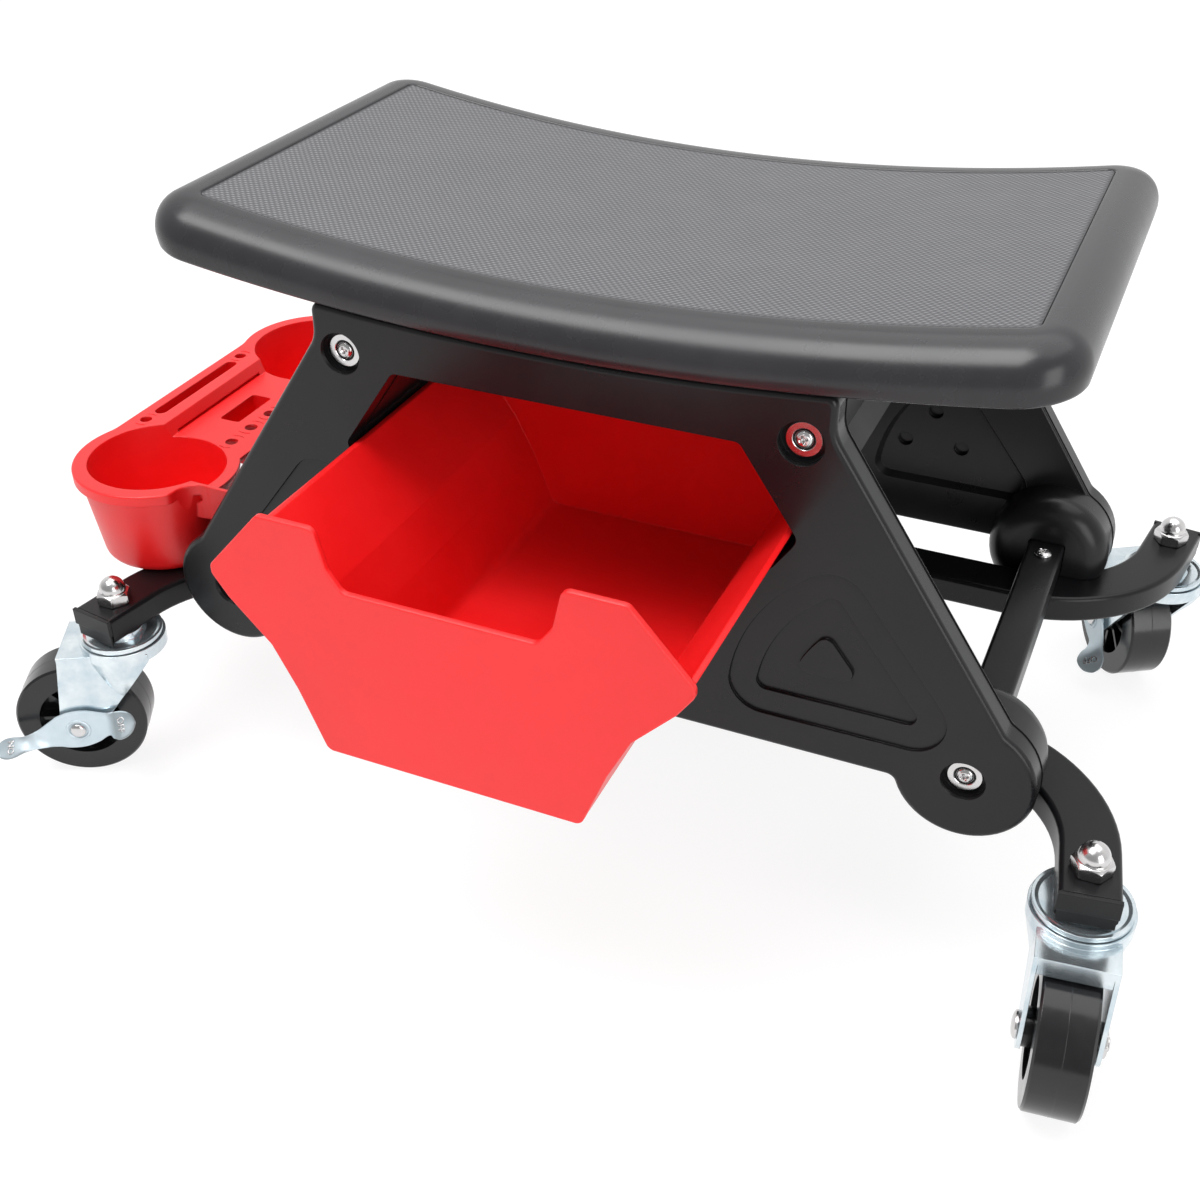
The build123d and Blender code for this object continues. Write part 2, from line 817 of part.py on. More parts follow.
# Drawer: bin with outward leaning walls, front plate with ears, tabs and a hand notch
body_low = [(low_x, low_z), (mid_x, mid_z), (knee_x, knee_z)]
flare_x = (rim_x - knee_x) / (rim_z - knee_z)
body_section = mirrored(body_low + [(rim_x, rim_z)])
tall = body_low + [(rim_x + flare_x * over, rim_z + over)]
body_cavity = grow(mirrored(tall), -drawer_wall)
plate_right = plate_low + [
    (ear_x, ear_top_z),
    (tab_x, tab_z),
    (notch_x, tab_z),
    (notch_side_x, notch_side_z),
    (notch_low_x, notch_z),
]
back_right = body_low + [(rim_x, rim_z), (back_wall_x, back_wall_z)]
plate_back = drawer_face - plate_t
with BuildPart() as drawer:
    with BuildSketch(Plane.XZ.offset(drawer_face)):
        with BuildLine():
            FilletPolyline(*mirrored(plate_right), radius=plate_round, close=True)
        make_face()
    extrude(amount=-plate_t)
    fillet(drawer.faces().sort_by(Axis.Y)[0].edges(), plate_edge_r)
    with BuildSketch(Plane.XZ.offset(plate_back)) as section:
        with BuildLine():
            Polyline(*body_section, close=True)
        make_face()
        fillet(near(section.vertices(), low_x, low_z, slide_gap), body_round)
    extrude(amount=-(plate_back - drawer_end_y))
    with BuildSketch(Plane.XZ.offset(drawer_end_y + drawer_wall)) as section:
        with BuildLine():
            Polyline(*mirrored(back_right), close=True)
        make_face()
        fillet(near(section.vertices(), low_x, low_z, slide_gap), body_round)
    extrude(amount=-drawer_wall)
    with BuildSketch(Plane.XZ.offset(plate_back)):
        with BuildLine():
            FilletPolyline(*body_cavity, radius=body_round - drawer_wall, close=True)
        make_face()
    extrude(amount=-(plate_back - drawer_end_y - drawer_wall), mode=Mode.SUBTRACT)
keep(drawer, "drawer")

# Runners: bent strips behind the window edges, from panel to panel
for side, word in ((-1, "left"), (1, "right")):
    with BuildPart() as runner:
        with BuildSketch(Plane.XZ.offset(panel_face - panel_t - seat_gap)):
            with BuildLine():
                Polyline(*grow(window, runner_gap + runner_t), close=True)
            make_face()
            with BuildLine():
                Polyline(*grow(window, runner_gap), close=True)
            make_face(mode=Mode.SUBTRACT)
            with Locations((0, runner_open_z + over)):
                Rectangle(2 * runner_open_x, 2 * over, mode=Mode.SUBTRACT)
            with Locations((0, low_z)):
                Rectangle(2 * runner_floor_x, over, mode=Mode.SUBTRACT)
            with Locations((-side * window_apex_x, window_apex_z)):
                Rectangle(2 * window_apex_x, 4 * window_top_x, mode=Mode.SUBTRACT)
        extrude(amount=-2 * (panel_face - panel_t - seat_gap))
    keep(runner, "runner_" + word)

# Tool tray at the left end: two tapered cups, raised rail with slot, shelf and pocket
cup_bottom = tube_top + seat_gap
side_in = wall_y - wall_t
stand = (Align.CENTER, Align.CENTER, Align.MIN)
cup_h = tray_top - lip_h / 2 - cup_bottom
cup = Cone(cup_low_r + cup_side_t, cup_top_r + cup_side_t, cup_h, align=stand)
cup = fillet(cup.edges().sort_by(Axis.Z)[0], cup_floor_r)
cavity = Cone(cup_low_r, cup_top_r, tray_top - cup_bottom - cup_wall, align=stand)
cavity = fillet(cavity.edges().sort_by(Axis.Z)[0], cup_floor_r - cup_wall)
squeeze = Cylinder(bite_r + wall_t, tray_top - cup_bottom, align=stand)
with BuildPart() as tray:
    # lip around the cups and the rail
    with BuildSketch(Plane.XY.offset(tray_top)) as rim:
        with Locations((-tray_x, cup_y), (-tray_x, -cup_y)):
            Circle(cup_rim_r)
        with Locations((-(tray_side_x + tray_x) / 2, 0)):
            Rectangle(tray_side_x - tray_x, 2 * cup_y)
        with Locations((-(tray_x + bite_x) / 2 + bite_edge_r / 2, 0)):
            Rectangle(tray_x - bite_x + bite_edge_r, 2 * wall_y)
        with Locations((-bite_x, bite_y), (-bite_x, -bite_y)):
            Circle(bite_r, mode=Mode.SUBTRACT)
        turns = [v for v in rim.vertices() if abs(v.Y) > wall_y and v.X < -bite_x - bite_edge_r]
        fillet(turns, bite_edge_r)
        turns = [v for v in rim.vertices() if abs(v.Y) < cup_y and v.X < -tray_x]
        fillet(turns, side_blend_r)
    extrude(amount=-lip_h)
    fillet(tray.faces().sort_by(Axis.Z)[-1].edges(), cup_wall / 2)
    for side in (1, -1):
        add(cup.moved(Location((-tray_x, side * cup_y, cup_bottom))))
    # blocks under the rail slot and the shelf pocket
    with BuildSketch(Plane.XY.offset(rail_block_low)):
        with Locations((-(rail_block_x + rail_inner_x) / 2, 0)):
            Rectangle(rail_block_x - rail_inner_x, 2 * (rail_hole_y + rail_hole_r + cup_wall))
    extrude(amount=tray_top - lip_h - rail_block_low)
    with BuildSketch(Plane.XY.offset(shelf_z)):
        with Locations((-pocket_x, 0)):
            Rectangle(pocket_w + 2 * pocket_wall, 2 * (pocket_half_y + pocket_wall))
    extrude(amount=-(pocket_depth + pocket_wall))
    # step down from the rail to the shelf
    with BuildSketch(Plane.XZ.offset(-side_in)):
        with BuildLine():
            Polyline(
                (-rail_inner_x, tray_top + sheet),
                (-rail_inner_x, tray_top),
                (-rail_inner_x + rail_slope, shelf_z),
                (-wall_end_x, shelf_z),
                (-wall_end_x, tray_top + sheet),
                close=True,
            )
        make_face()
    extrude(amount=2 * side_in, mode=Mode.SUBTRACT)
    with BuildSketch(Plane.XY.offset(shelf_z)):
        with Locations((-tray_x, cup_y), (-tray_x, -cup_y)):
            Circle(shelf_rim_r)
        with Locations((-(rail_inner_x + shelf_inner_x) / 2, 0)):
            Rectangle(rail_inner_x - shelf_inner_x, 2 * cup_y)
        with Locations((-rail_inner_x - cup_rim_r, 0)):
            Rectangle(2 * cup_rim_r, 4 * cup_y, mode=Mode.SUBTRACT)
        with Locations((-tray_x, side_in + cup_rim_r), (-tray_x, -side_in - cup_rim_r)):
            Rectangle(4 * cup_rim_r, 2 * cup_rim_r, mode=Mode.SUBTRACT)
    extrude(amount=-shelf_t)
    # side walls that reach in between the panels and sit on the foot bosses
    for side in (1, -1):
        with BuildSketch(Plane.XZ.offset(-side * wall_y)):
            with BuildLine():
                Polyline(
                    (-wall_end_x, tray_top),
                    (-wall_start_x, tray_top),
                    (-wall_start_x, tray_top - lip_h),
                    (-wall_step_x, tray_top - lip_h),
                    (-wall_step_x, wall_step_z),
                    (-wall_root_x, wall_step_low),
                    (-wall_root_x, wall_low),
                    (-wall_end_x, wall_low),
                    close=True,
                )
            make_face()
            with Locations((-foot_x, foot_z)):
                Circle(foot_r + seat_gap, mode=Mode.SUBTRACT)
        extrude(amount=side * wall_t)
    # inside of the cups, squeezed where the lip turns in towards the side walls
    for side in (1, -1):
        hollow = cavity.moved(Location((-tray_x, side * cup_y, cup_bottom + cup_wall)))
        hollow = hollow - squeeze.moved(Location((-bite_x, side * bite_y, cup_bottom)))
        add(hollow, mode=Mode.SUBTRACT)
    with BuildSketch(Plane.XY.offset(tray_top)):
        with Locations((-bite_x, bite_y), (-bite_x, -bite_y)):
            Circle(bite_r)
    extrude(amount=cup_bottom - tray_top, mode=Mode.SUBTRACT)
    # slot and holes in the rail, pocket and holes in the shelf
    with BuildSketch(Plane.XY.offset(tray_top)):
        with Locations((-slot_x, 0)):
            SlotOverall(2 * slot_half_y, slot_w, rotation=90)
        with Locations((-rail_hole_x, rail_hole_y), (-rail_hole_x, -rail_hole_y)):
            Circle(rail_hole_r)
    extrude(amount=-slot_depth, mode=Mode.SUBTRACT)
    with BuildSketch(Plane.XY.offset(shelf_z)):
        with Locations((-pocket_x, 0)):
            RectangleRounded(pocket_w, 2 * pocket_half_y, sheet)
    extrude(amount=-pocket_depth, mode=Mode.SUBTRACT)
    with BuildSketch(Plane.XY.offset(shelf_z)):
        with Locations((-bit_x, 0)):
            with GridLocations(bit_step, bit_step, 1, bit_count):
                Circle(bit_r)
    extrude(amount=-(shelf_t + lip_h), mode=Mode.SUBTRACT)
keep(tray, "tool_tray")

# Move the whole object so that the ground centre of its bounding box is the origin
boxes = [piece.bounding_box() for piece in pieces]
min_x, max_x = min(b.min.X for b in boxes), max(b.max.X for b in boxes)
min_y, max_y = min(b.min.Y for b in boxes), max(b.max.Y for b in boxes)
ground = min(b.min.Z for b in boxes)
home = Location((-(min_x + max_x) / 2, -(min_y + max_y) / 2, -ground))
for piece in pieces:
    placed = piece.moved(home)
    placed.label = piece.label
    export_step(placed, "parts/" + piece.label + ".step")
print("moved by", home.position)
print("size", max_x - min_x, max_y - min_y, max(b.max.Z for b in boxes) - ground)
print("pieces", len(pieces))
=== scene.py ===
"""Workshop stool on casters: camera, light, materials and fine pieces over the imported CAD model."""

import json
import math

import bmesh
import bpy
from mathutils import Matrix, Vector


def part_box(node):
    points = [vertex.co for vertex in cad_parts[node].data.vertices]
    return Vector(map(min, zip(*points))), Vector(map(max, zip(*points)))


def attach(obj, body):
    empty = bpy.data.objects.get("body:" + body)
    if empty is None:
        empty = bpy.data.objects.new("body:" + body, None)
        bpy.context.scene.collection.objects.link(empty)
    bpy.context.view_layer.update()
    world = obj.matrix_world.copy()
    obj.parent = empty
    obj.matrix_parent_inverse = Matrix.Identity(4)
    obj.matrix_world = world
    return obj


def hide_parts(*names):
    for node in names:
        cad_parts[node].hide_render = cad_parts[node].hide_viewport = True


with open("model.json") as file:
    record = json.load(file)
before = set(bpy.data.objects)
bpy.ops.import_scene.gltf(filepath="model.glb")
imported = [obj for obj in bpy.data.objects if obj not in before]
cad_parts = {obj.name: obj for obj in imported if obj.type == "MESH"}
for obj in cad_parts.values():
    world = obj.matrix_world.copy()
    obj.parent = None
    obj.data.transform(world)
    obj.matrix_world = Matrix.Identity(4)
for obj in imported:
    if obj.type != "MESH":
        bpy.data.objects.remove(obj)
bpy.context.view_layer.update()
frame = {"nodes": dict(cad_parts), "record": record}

MM = 0.001
CORNERS = ("fl", "fr", "br", "bl")
nodes = frame["nodes"]
joints = {j["name"]: j for j in frame["record"]["behaviour"]["joints"]}


def middle(*names):
    """Middle of the boxes of some CAD nodes, in mm."""
    boxes = [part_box(name) for name in names]
    low = [min(b[0][i] for b in boxes) for i in range(3)]
    high = [max(b[1][i] for b in boxes) for i in range(3)]
    return Vector([(a + b) / 2 / MM for a, b in zip(low, high)])


# The stool's own centre lines (x = 0, y = 0) in the row frame, in mm
STOOL = middle("panel_front", "panel_back")
STOOL.z = 0.0


def at(x, y, z):
    """A point given from the stool's centre lines, in mm, as metres in the row frame."""
    return (Vector((x, y, z)) + STOOL) * MM


def linked(name, data):
    """A new object in the scene."""
    obj = bpy.data.objects.new(name, data)
    bpy.context.scene.collection.objects.link(obj)
    return obj


# Camera: place in mm, direction from the stool to the camera, roll in degrees, lens in mm
CAMERA_PLACE = (269.55, -685.82, 591.59)
CAMERA_BACK = (0.33697, -0.75530, 0.56212)
CAMERA_ROLL = -0.409
LENS = 44.924
SENSOR_WIDTH = 36.0
CLIP_START = 0.01


def make_camera():
    back = Vector(CAMERA_BACK).normalized()
    right = Vector((0, 0, 1)).cross(back).normalized()
    up = back.cross(right)
    roll = math.radians(CAMERA_ROLL)
    tilted_right = right * math.cos(roll) + up * math.sin(roll)
    tilted_up = up * math.cos(roll) - right * math.sin(roll)
    data = bpy.data.cameras.new("camera")
    data.lens = LENS
    data.sensor_width = SENSOR_WIDTH
    data.clip_start = CLIP_START
    camera = linked("camera", data)
    turn = Matrix((tilted_right, tilted_up, back)).transposed().to_4x4()
    camera.matrix_world = Matrix.Translation(at(*CAMERA_PLACE)) @ turn
    bpy.context.scene.camera = camera


make_camera()
bpy.context.scene.view_settings.view_transform = "Standard"


# Materials: the clouds of two close colours run between these levels of their noise
CLOUD = (0.3, 0.7)
CLOUD_DETAIL = 5.0
GRAIN_DETAIL = 3.0
NOISE_ROUGHNESS = 0.6
BEVEL_SAMPLES = 6


def add(tree, kind, **inputs):
    """A new node with constant numbers on its inputs; an underscore in a name stands for a space."""
    node = tree.nodes.new(kind)
    for name, value in inputs.items():
        node.inputs[name.replace("_", " ")].default_value = value
    return node


def ramp(tree, source, stops):
    """A colour ramp over (place, colour) stops."""
    node = tree.nodes.new("ShaderNodeValToRGB")
    elements = node.color_ramp.elements
    while len(elements) < len(stops):
        elements.new(0.5)
    for element, (place, colour) in zip(elements, stops):
        element.position = place
        element.color = (*colour, 1)
    tree.links.new(source, node.inputs["Fac"])
    return node.outputs["Color"]


def span(tree, source, low, high, start=CLOUD[0], end=CLOUD[1]):
    """Maps the range from start to end onto the range from low to high."""
    node = add(tree, "ShaderNodeMapRange", From_Min=start, From_Max=end, To_Min=low, To_Max=high)
    tree.links.new(source, node.inputs["Value"])
    return node.outputs["Result"]


def surface(name, dark, light, rough, metallic=0.0, patch=25.0, grain=900.0, bump=0.1, depth=0.0001,
            specular=0.5, edge=0.35):
    """A solid material: two close colours in soft patches, uneven gloss, a fine grain and softened edges."""
    mat = bpy.data.materials.new(name)
    mat.use_nodes = True
    tree = mat.node_tree
    shader = tree.nodes["Principled BSDF"]
    shader.inputs["Metallic"].default_value = metallic
    shader.inputs["Specular IOR Level"].default_value = specular
    place = tree.nodes.new("ShaderNodeTexCoord")
    cloud = add(tree, "ShaderNodeTexNoise", Scale=patch, Detail=CLOUD_DETAIL, Roughness=NOISE_ROUGHNESS)
    fine = add(tree, "ShaderNodeTexNoise", Scale=grain, Detail=GRAIN_DETAIL, Roughness=NOISE_ROUGHNESS)
    for noise in (cloud, fine):
        tree.links.new(place.outputs["Object"], noise.inputs["Vector"])
    colour = ramp(tree, cloud.outputs["Fac"], [(CLOUD[0], dark), (CLOUD[1], light)])
    tree.links.new(colour, shader.inputs["Base Color"])
    tree.links.new(span(tree, cloud.outputs["Fac"], *rough), shader.inputs["Roughness"])
    height = add(tree, "ShaderNodeBump", Strength=bump, Distance=depth)
    tree.links.new(fine.outputs["Fac"], height.inputs["Height"])
    if edge:
        rounding = add(tree, "ShaderNodeBevel", Radius=edge * MM)
        rounding.samples = BEVEL_SAMPLES
        tree.links.new(rounding.outputs["Normal"], height.inputs["Normal"])
    tree.links.new(height.outputs["Normal"], shader.inputs["Normal"])
    return mat


# Each finish: dark and light colour, range of roughness; the radius of an edge is in mm
MATERIALS = {
    "seat": surface("seat_skin", (0.022, 0.022, 0.024), (0.029, 0.029, 0.032), (0.24, 0.31),
                    grain=1400, bump=0.08, specular=0.38, edge=0),
    "panel": surface("panel_plastic", (0.008, 0.008, 0.009), (0.011, 0.011, 0.012), (0.26, 0.33),
                     grain=1600, bump=0.12, specular=0.31, edge=0.4),
    "frame_paint": surface("powder_coat", (0.005, 0.005, 0.006), (0.008, 0.008, 0.009), (0.26, 0.34),
                           grain=700, bump=0.2, specular=0.28, edge=0.6),
    "plug": surface("plug_plastic", (0.006, 0.006, 0.006), (0.010, 0.010, 0.011), (0.28, 0.38),
                    specular=0.3, edge=0.6),
    "runner": surface("runner_plastic", (0.006, 0.006, 0.007), (0.010, 0.010, 0.010), (0.40, 0.55)),
    "red_plastic": surface("red_plastic", (0.84, 0.006, 0.007), (0.92, 0.010, 0.012), (0.34, 0.44),
                           patch=14, grain=1100, bump=0.06, specular=0.6, edge=1.2),
    "wheel": surface("wheel_nylon", (0.007, 0.007, 0.008), (0.011, 0.011, 0.012), (0.13, 0.22),
                     patch=60, bump=0.04, edge=0.4),
    "zinc": surface("zinc_plate", (0.52, 0.62, 0.68), (0.80, 0.86, 0.88), (0.13, 0.22),
                    metallic=0.9, patch=60, grain=500, bump=0.015, edge=0.4),
    "lever_zinc": surface("lever_plate", (0.55, 0.66, 0.72), (0.66, 0.76, 0.81), (0.30, 0.40),
                          metallic=0.35, patch=60, grain=500, bump=0.02, edge=0.2),
    "bright_zinc": surface("bright_plate", (0.58, 0.57, 0.57), (0.68, 0.67, 0.67), (0.18, 0.26),
                           metallic=1.0, patch=90, bump=0.02, edge=0.12),
}

# Painted sheen and shade on the grained field: colour by the height share of its lens shapes, pale on the
# raised lenses for their sheen and dark in the valleys for their shade
FIELD_SHEEN_AND_SHADE = [(0.05, (0.018, 0.018, 0.020)), (0.5, (0.120, 0.120, 0.128)), (0.95, (0.300, 0.300, 0.316))]
# Painted dark reflection: the brake levers' ends are painted down to this share of the plate's colour
LEVER_END_REFLECTION_SHARE = 0.5


def field_painted_sheen_and_shade():
    """The grained skin with painted sheen and shade: raised lenses painted paler for their sheen, the valleys
    between them darker for their shade, in place of the colour clouds.
    """
    mat = surface("seat_field_painted_sheen", (0.5, 0.5, 0.5), (0.6, 0.6, 0.6), (0.40, 0.50), grain=2200, bump=0.05, edge=0)
    tree = mat.node_tree
    level = tree.nodes.new("ShaderNodeAttribute")
    level.attribute_name = "lens"
    colour = ramp(tree, level.outputs["Fac"], FIELD_SHEEN_AND_SHADE)
    tree.links.new(colour, tree.nodes["Principled BSDF"].inputs["Base Color"])
    return mat


def paint_dark_reflection_on_ends(mat, share):
    """Painted dark reflection: the two ends of the brake levers are painted darker than the plate for the
    dark reflection they catch; the attribute "end" runs from 0 to 1.
    """
    tree = mat.node_tree
    base = tree.nodes["Principled BSDF"].inputs["Base Color"]
    level = tree.nodes.new("ShaderNodeAttribute")
    level.attribute_name = "end"
    product = tree.nodes.new("ShaderNodeVectorMath")
    product.operation = "SCALE"
    tree.links.new(base.links[0].from_socket, product.inputs["Vector"])
    tree.links.new(span(tree, level.outputs["Fac"], 1.0, share, 0.0, 1.0), product.inputs["Scale"])
    tree.links.new(product.outputs["Vector"], base)


paint_dark_reflection_on_ends(MATERIALS["lever_zinc"], LEVER_END_REFLECTION_SHARE)
# The grained field's material, whose colour paints sheen on the lens tops and shade in the valleys
FIELD = field_painted_sheen_and_shade()
# Painted shade: near-black lines for the shade at the panels' parting seam and triangle steps
STEP_SHADE_LINE = surface("painted_step_shade", (0.002, 0.002, 0.002), (0.004, 0.004, 0.004), (0.5, 0.6), specular=0.1, edge=0)


def dress(obj, slot):
    obj.data.materials.clear()
    obj.data.materials.append(MATERIALS[slot])


# The CAD nodes that are carried over
for entry in frame["record"]["subparts"]:
    cad = nodes[entry["node"]]
    dress(cad, entry["material_slot"])
    for polygon in cad.data.polygons:
        polygon.use_smooth = True


# New pieces
def mesh_piece(name, verts, faces, slot, body):
    mesh = bpy.data.meshes.new(name)
    mesh.from_pydata([tuple(v) for v in verts], [], faces)
    mesh.validate()
    obj = linked(name, mesh)
    for polygon in mesh.polygons:
        polygon.use_smooth = True
    dress(obj, slot)
    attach(obj, body)
    return obj


def block(name, centre, size, slot, body, edge, segments=2):
    """A box with bevelled edges; centre, size and edge in mm."""
    bm = bmesh.new()
    bmesh.ops.create_cube(bm, size=1.0)
    for vert in bm.verts:
        vert.co = Vector([c * s for c, s in zip(vert.co, size)])
    bmesh.ops.bevel(bm, geom=bm.edges[:], offset=edge, segments=segments, affect="EDGES", profile=0.5)
    for vert in bm.verts:
        vert.co = at(*(vert.co + Vector(centre)))
    mesh = bpy.data.meshes.new(name)
    bm.to_mesh(mesh)
    bm.free()
    obj = linked(name, mesh)
    dress(obj, slot)
    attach(obj, body)


# Seat pad, in mm: half sizes of the pad and of its grained field, with the radius of their corners
SEAT_HALF = (228.0, 130.8)
FIELD_HALF = (204.8, 106.0)
SEAT_CORNER = 27.0
FIELD_CORNER = 5.0
# Saddle shape: height at the middle, and the rise from there to the place RISE_AT
RISE_AT = 232.0
TOP_MIDDLE = 325.8
TOP_RISE = 23.6
LOW_MIDDLE = 302.3
LOW_RISE = 19.9
# Field: cells along and across, depth below the border, height of the grain and width of its fading edge
FIELD_CELLS = (496, 216)
FIELD_SINK = 0.6
GRAIN_HIGH = 0.46
GRAIN_FADE = 2.5
LENS_SHARES = (1.0, 0.62, 0.12, 0.62)
VALLEY_SHARE = 0.22
# Border: inset and drop of the step round the field, the two roundings, the drawn-in side and the underside
STEP_ROWS = ((23.0, 0.55), (22.8, 0.15), (22.4, 0.0), (21.5, 0.0))
TOP_ROUND = 20.0
TOP_ROUND_STEPS = 14
LOW_ROUND = 2.5
LOW_ROUND_STEPS = 4
SIDE_INSET = 0.5
UNDER_INSET = 16.0
# Ribs under the pad, which sit on the upper bars at the panels' upper bolts
UPPER_BOLT = (116.2, 283.5)
RIB_MIDDLE_Z = 299.6
RIB_SIZE = (16, 192, 11.2)
RIB_EDGE = 0.8


def rounded_point(hx, hy, r, side, t):
    """Point on a rounded rectangle; side 0 to 3 runs from corner middle to corner middle, t from 0 to 1."""
    along, across = (hx, hy) if side % 2 == 0 else (hy, hx)
    straight = 2 * (along - r)
    arc = r * math.pi / 4
    s = t * (straight + 2 * arc)
    if s < arc:
        a = math.radians(225) + s / r
        p = (-along + r + r * math.cos(a), -across + r + r * math.sin(a))
    elif s > arc + straight:
        a = math.radians(270) + (s - arc - straight) / r
        p = (along - r + r * math.cos(a), -across + r + r * math.sin(a))
    else:
        p = (-along + r + s - arc, -across)
    for _ in range(side):
        p = (-p[1], p[0])
    return p


def seat_top(x):
    return TOP_MIDDLE + TOP_RISE * (x / RISE_AT) ** 2


def seat_low(x):
    return LOW_MIDDLE + LOW_RISE * (x / RISE_AT) ** 2


def seat_ring(verts, half, corner, level, rise):
    """Adds a ring of points at a rise above the curve of level, and returns the index of its first point."""
    start = len(verts)
    for side in range(4):
        cells = FIELD_CELLS[side % 2]
        for i in range(cells):
            x, y = rounded_point(*half, corner, side, i / cells)
            verts.append(at(x, y, level(x) + rise))
    return start


def field_grain(i, j):
    """Height share of the low lenses, four columns to a lens and two to a row, every other row shifted."""
    row, between = divmod(j, 2)
    step = (i + 2 * (row % 2)) % 4
    return VALLEY_SHARE if between else LENS_SHARES[step]


def patch_point(sides, i, j):
    """Point of a grid that is stretched between four sides, each a list of points."""
    south, east, north, west = sides
    nx, ny = FIELD_CELLS
    u, v = i / nx, j / ny
    return [(1 - v) * south[i][k] + v * north[i][k] + (1 - u) * west[j][k] + u * east[j][k]
            - (1 - u) * (1 - v) * south[0][k] - u * (1 - v) * south[nx][k]
            - (1 - u) * v * north[0][k] - u * v * north[nx][k] for k in (0, 1)]


def add_field(verts, faces, edge):
    """The grained field: a grid inside the ring that starts at edge. Returns its points' height shares."""
    nx, ny = FIELD_CELLS
    sides = []
    for side in range(4):
        cells = FIELD_CELLS[side % 2]
        points = [rounded_point(*FIELD_HALF, FIELD_CORNER, side, i / cells) for i in range(cells + 1)]
        sides.append(points if side < 2 else points[::-1])
    index, lens = {}, {}
    for j in range(ny + 1):
        for i in range(nx + 1):
            if j == 0:
                index[i, j] = edge + i
            elif i == nx:
                index[i, j] = edge + nx + j
            elif j == ny:
                index[i, j] = edge + nx + ny + (nx - i)
            elif i == 0:
                index[i, j] = edge + 2 * nx + ny + (ny - j)
            else:
                x, y = patch_point(sides, i, j)
                room = min(FIELD_HALF[0] - abs(x), FIELD_HALF[1] - abs(y))
                share = field_grain(i, j) * min(1.0, room / GRAIN_FADE)
                index[i, j] = len(verts)
                lens[len(verts)] = share
                verts.append(at(x, y, seat_top(x) - FIELD_SINK + GRAIN_HIGH * share))
    for j in range(ny):
        for i in range(nx):
            faces.append((index[i, j], index[i + 1, j], index[i + 1, j + 1], index[i, j + 1]))
    return lens


def border_rows():
    """Inset, level and rise of each ring: step up, big rounding, small lower rounding and underside."""
    rows = [(inset, seat_top, -drop) for inset, drop in STEP_ROWS]
    for k in range(1, TOP_ROUND_STEPS + 1):
        a = math.radians(90 * k / TOP_ROUND_STEPS)
        rows.append((TOP_ROUND * (1 - math.sin(a)), seat_top, -TOP_ROUND * (1 - math.cos(a))))
    for k in range(LOW_ROUND_STEPS + 1):
        a = math.radians(90 * k / LOW_ROUND_STEPS)
        rows.append((SIDE_INSET + LOW_ROUND * (1 - math.cos(a)), seat_low, LOW_ROUND * (1 - math.sin(a))))
    rows.append((UNDER_INSET, seat_low, 0.0))
    return rows


def inset_outline(inset):
    """Half sizes and corner radius of the outline at an inset from the pad's edge."""
    width = SEAT_HALF[0] - FIELD_HALF[0]
    depth = SEAT_HALF[1] - FIELD_HALF[1]
    half = (SEAT_HALF[0] - inset, SEAT_HALF[1] - inset * depth / width)
    return half, SEAT_CORNER + (FIELD_CORNER - SEAT_CORNER) * min(1.0, inset / width)


def build_seat():
    verts, faces = [], []
    rings = [seat_ring(verts, FIELD_HALF, FIELD_CORNER, seat_top, -FIELD_SINK)]
    lens = add_field(verts, faces, rings[0])
    field_faces = len(faces)
    for inset, level, rise in border_rows():
        rings.append(seat_ring(verts, *inset_outline(inset), level, rise))
    total = 2 * sum(FIELD_CELLS)
    for a, b in zip(rings, rings[1:]):
        for i in range(total):
            j = (i + 1) % total
            faces.append((a + i, a + j, b + j, b + i))
    faces.append([rings[-1] + i for i in range(total)][::-1])
    pad = mesh_piece("seat_cushion", verts, faces, "seat", "stool")
    level = pad.data.attributes.new("lens", "FLOAT", "POINT")
    for place, share in lens.items():
        level.data[place].value = share
    pad.data.materials.append(FIELD)
    for polygon in pad.data.polygons:
        if polygon.index < field_faces:
            polygon.material_index = 1
    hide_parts("seat_pad")
    for side, sign in (("left", -1), ("right", 1)):
        centre = (sign * UPPER_BOLT[0], 0, RIB_MIDDLE_Z)
        block("seat_rib_" + side, centre, RIB_SIZE, "seat", "stool", RIB_EDGE)


build_seat()


# Turned pieces: steps round them, the angle of a sharp edge, and when an axis counts as along its hint
TURN_STEPS = 96
NUT_STEPS = 144
RING_STEPS = 144
AXLE_STEPS = 72
RIVET_STEPS = 64
SHARP_EDGE = math.radians(26)
NEARLY_ALONG = 0.9


def frame_of(origin, axis, toward=(0, 0, 1)):
    """Matrix from local mm (z along the axis) to metres in the row frame."""
    z = Vector(axis).normalized()
    hint = Vector(toward) if abs(z.dot(Vector(toward))) < NEARLY_ALONG else Vector((1, 0, 0))
    y = (hint - z * hint.dot(z)).normalized()
    x = y.cross(z)
    turned = Matrix((x, y, z)).transposed().to_4x4()
    return Matrix.Translation(at(*origin)) @ turned @ Matrix.Scale(MM, 4)


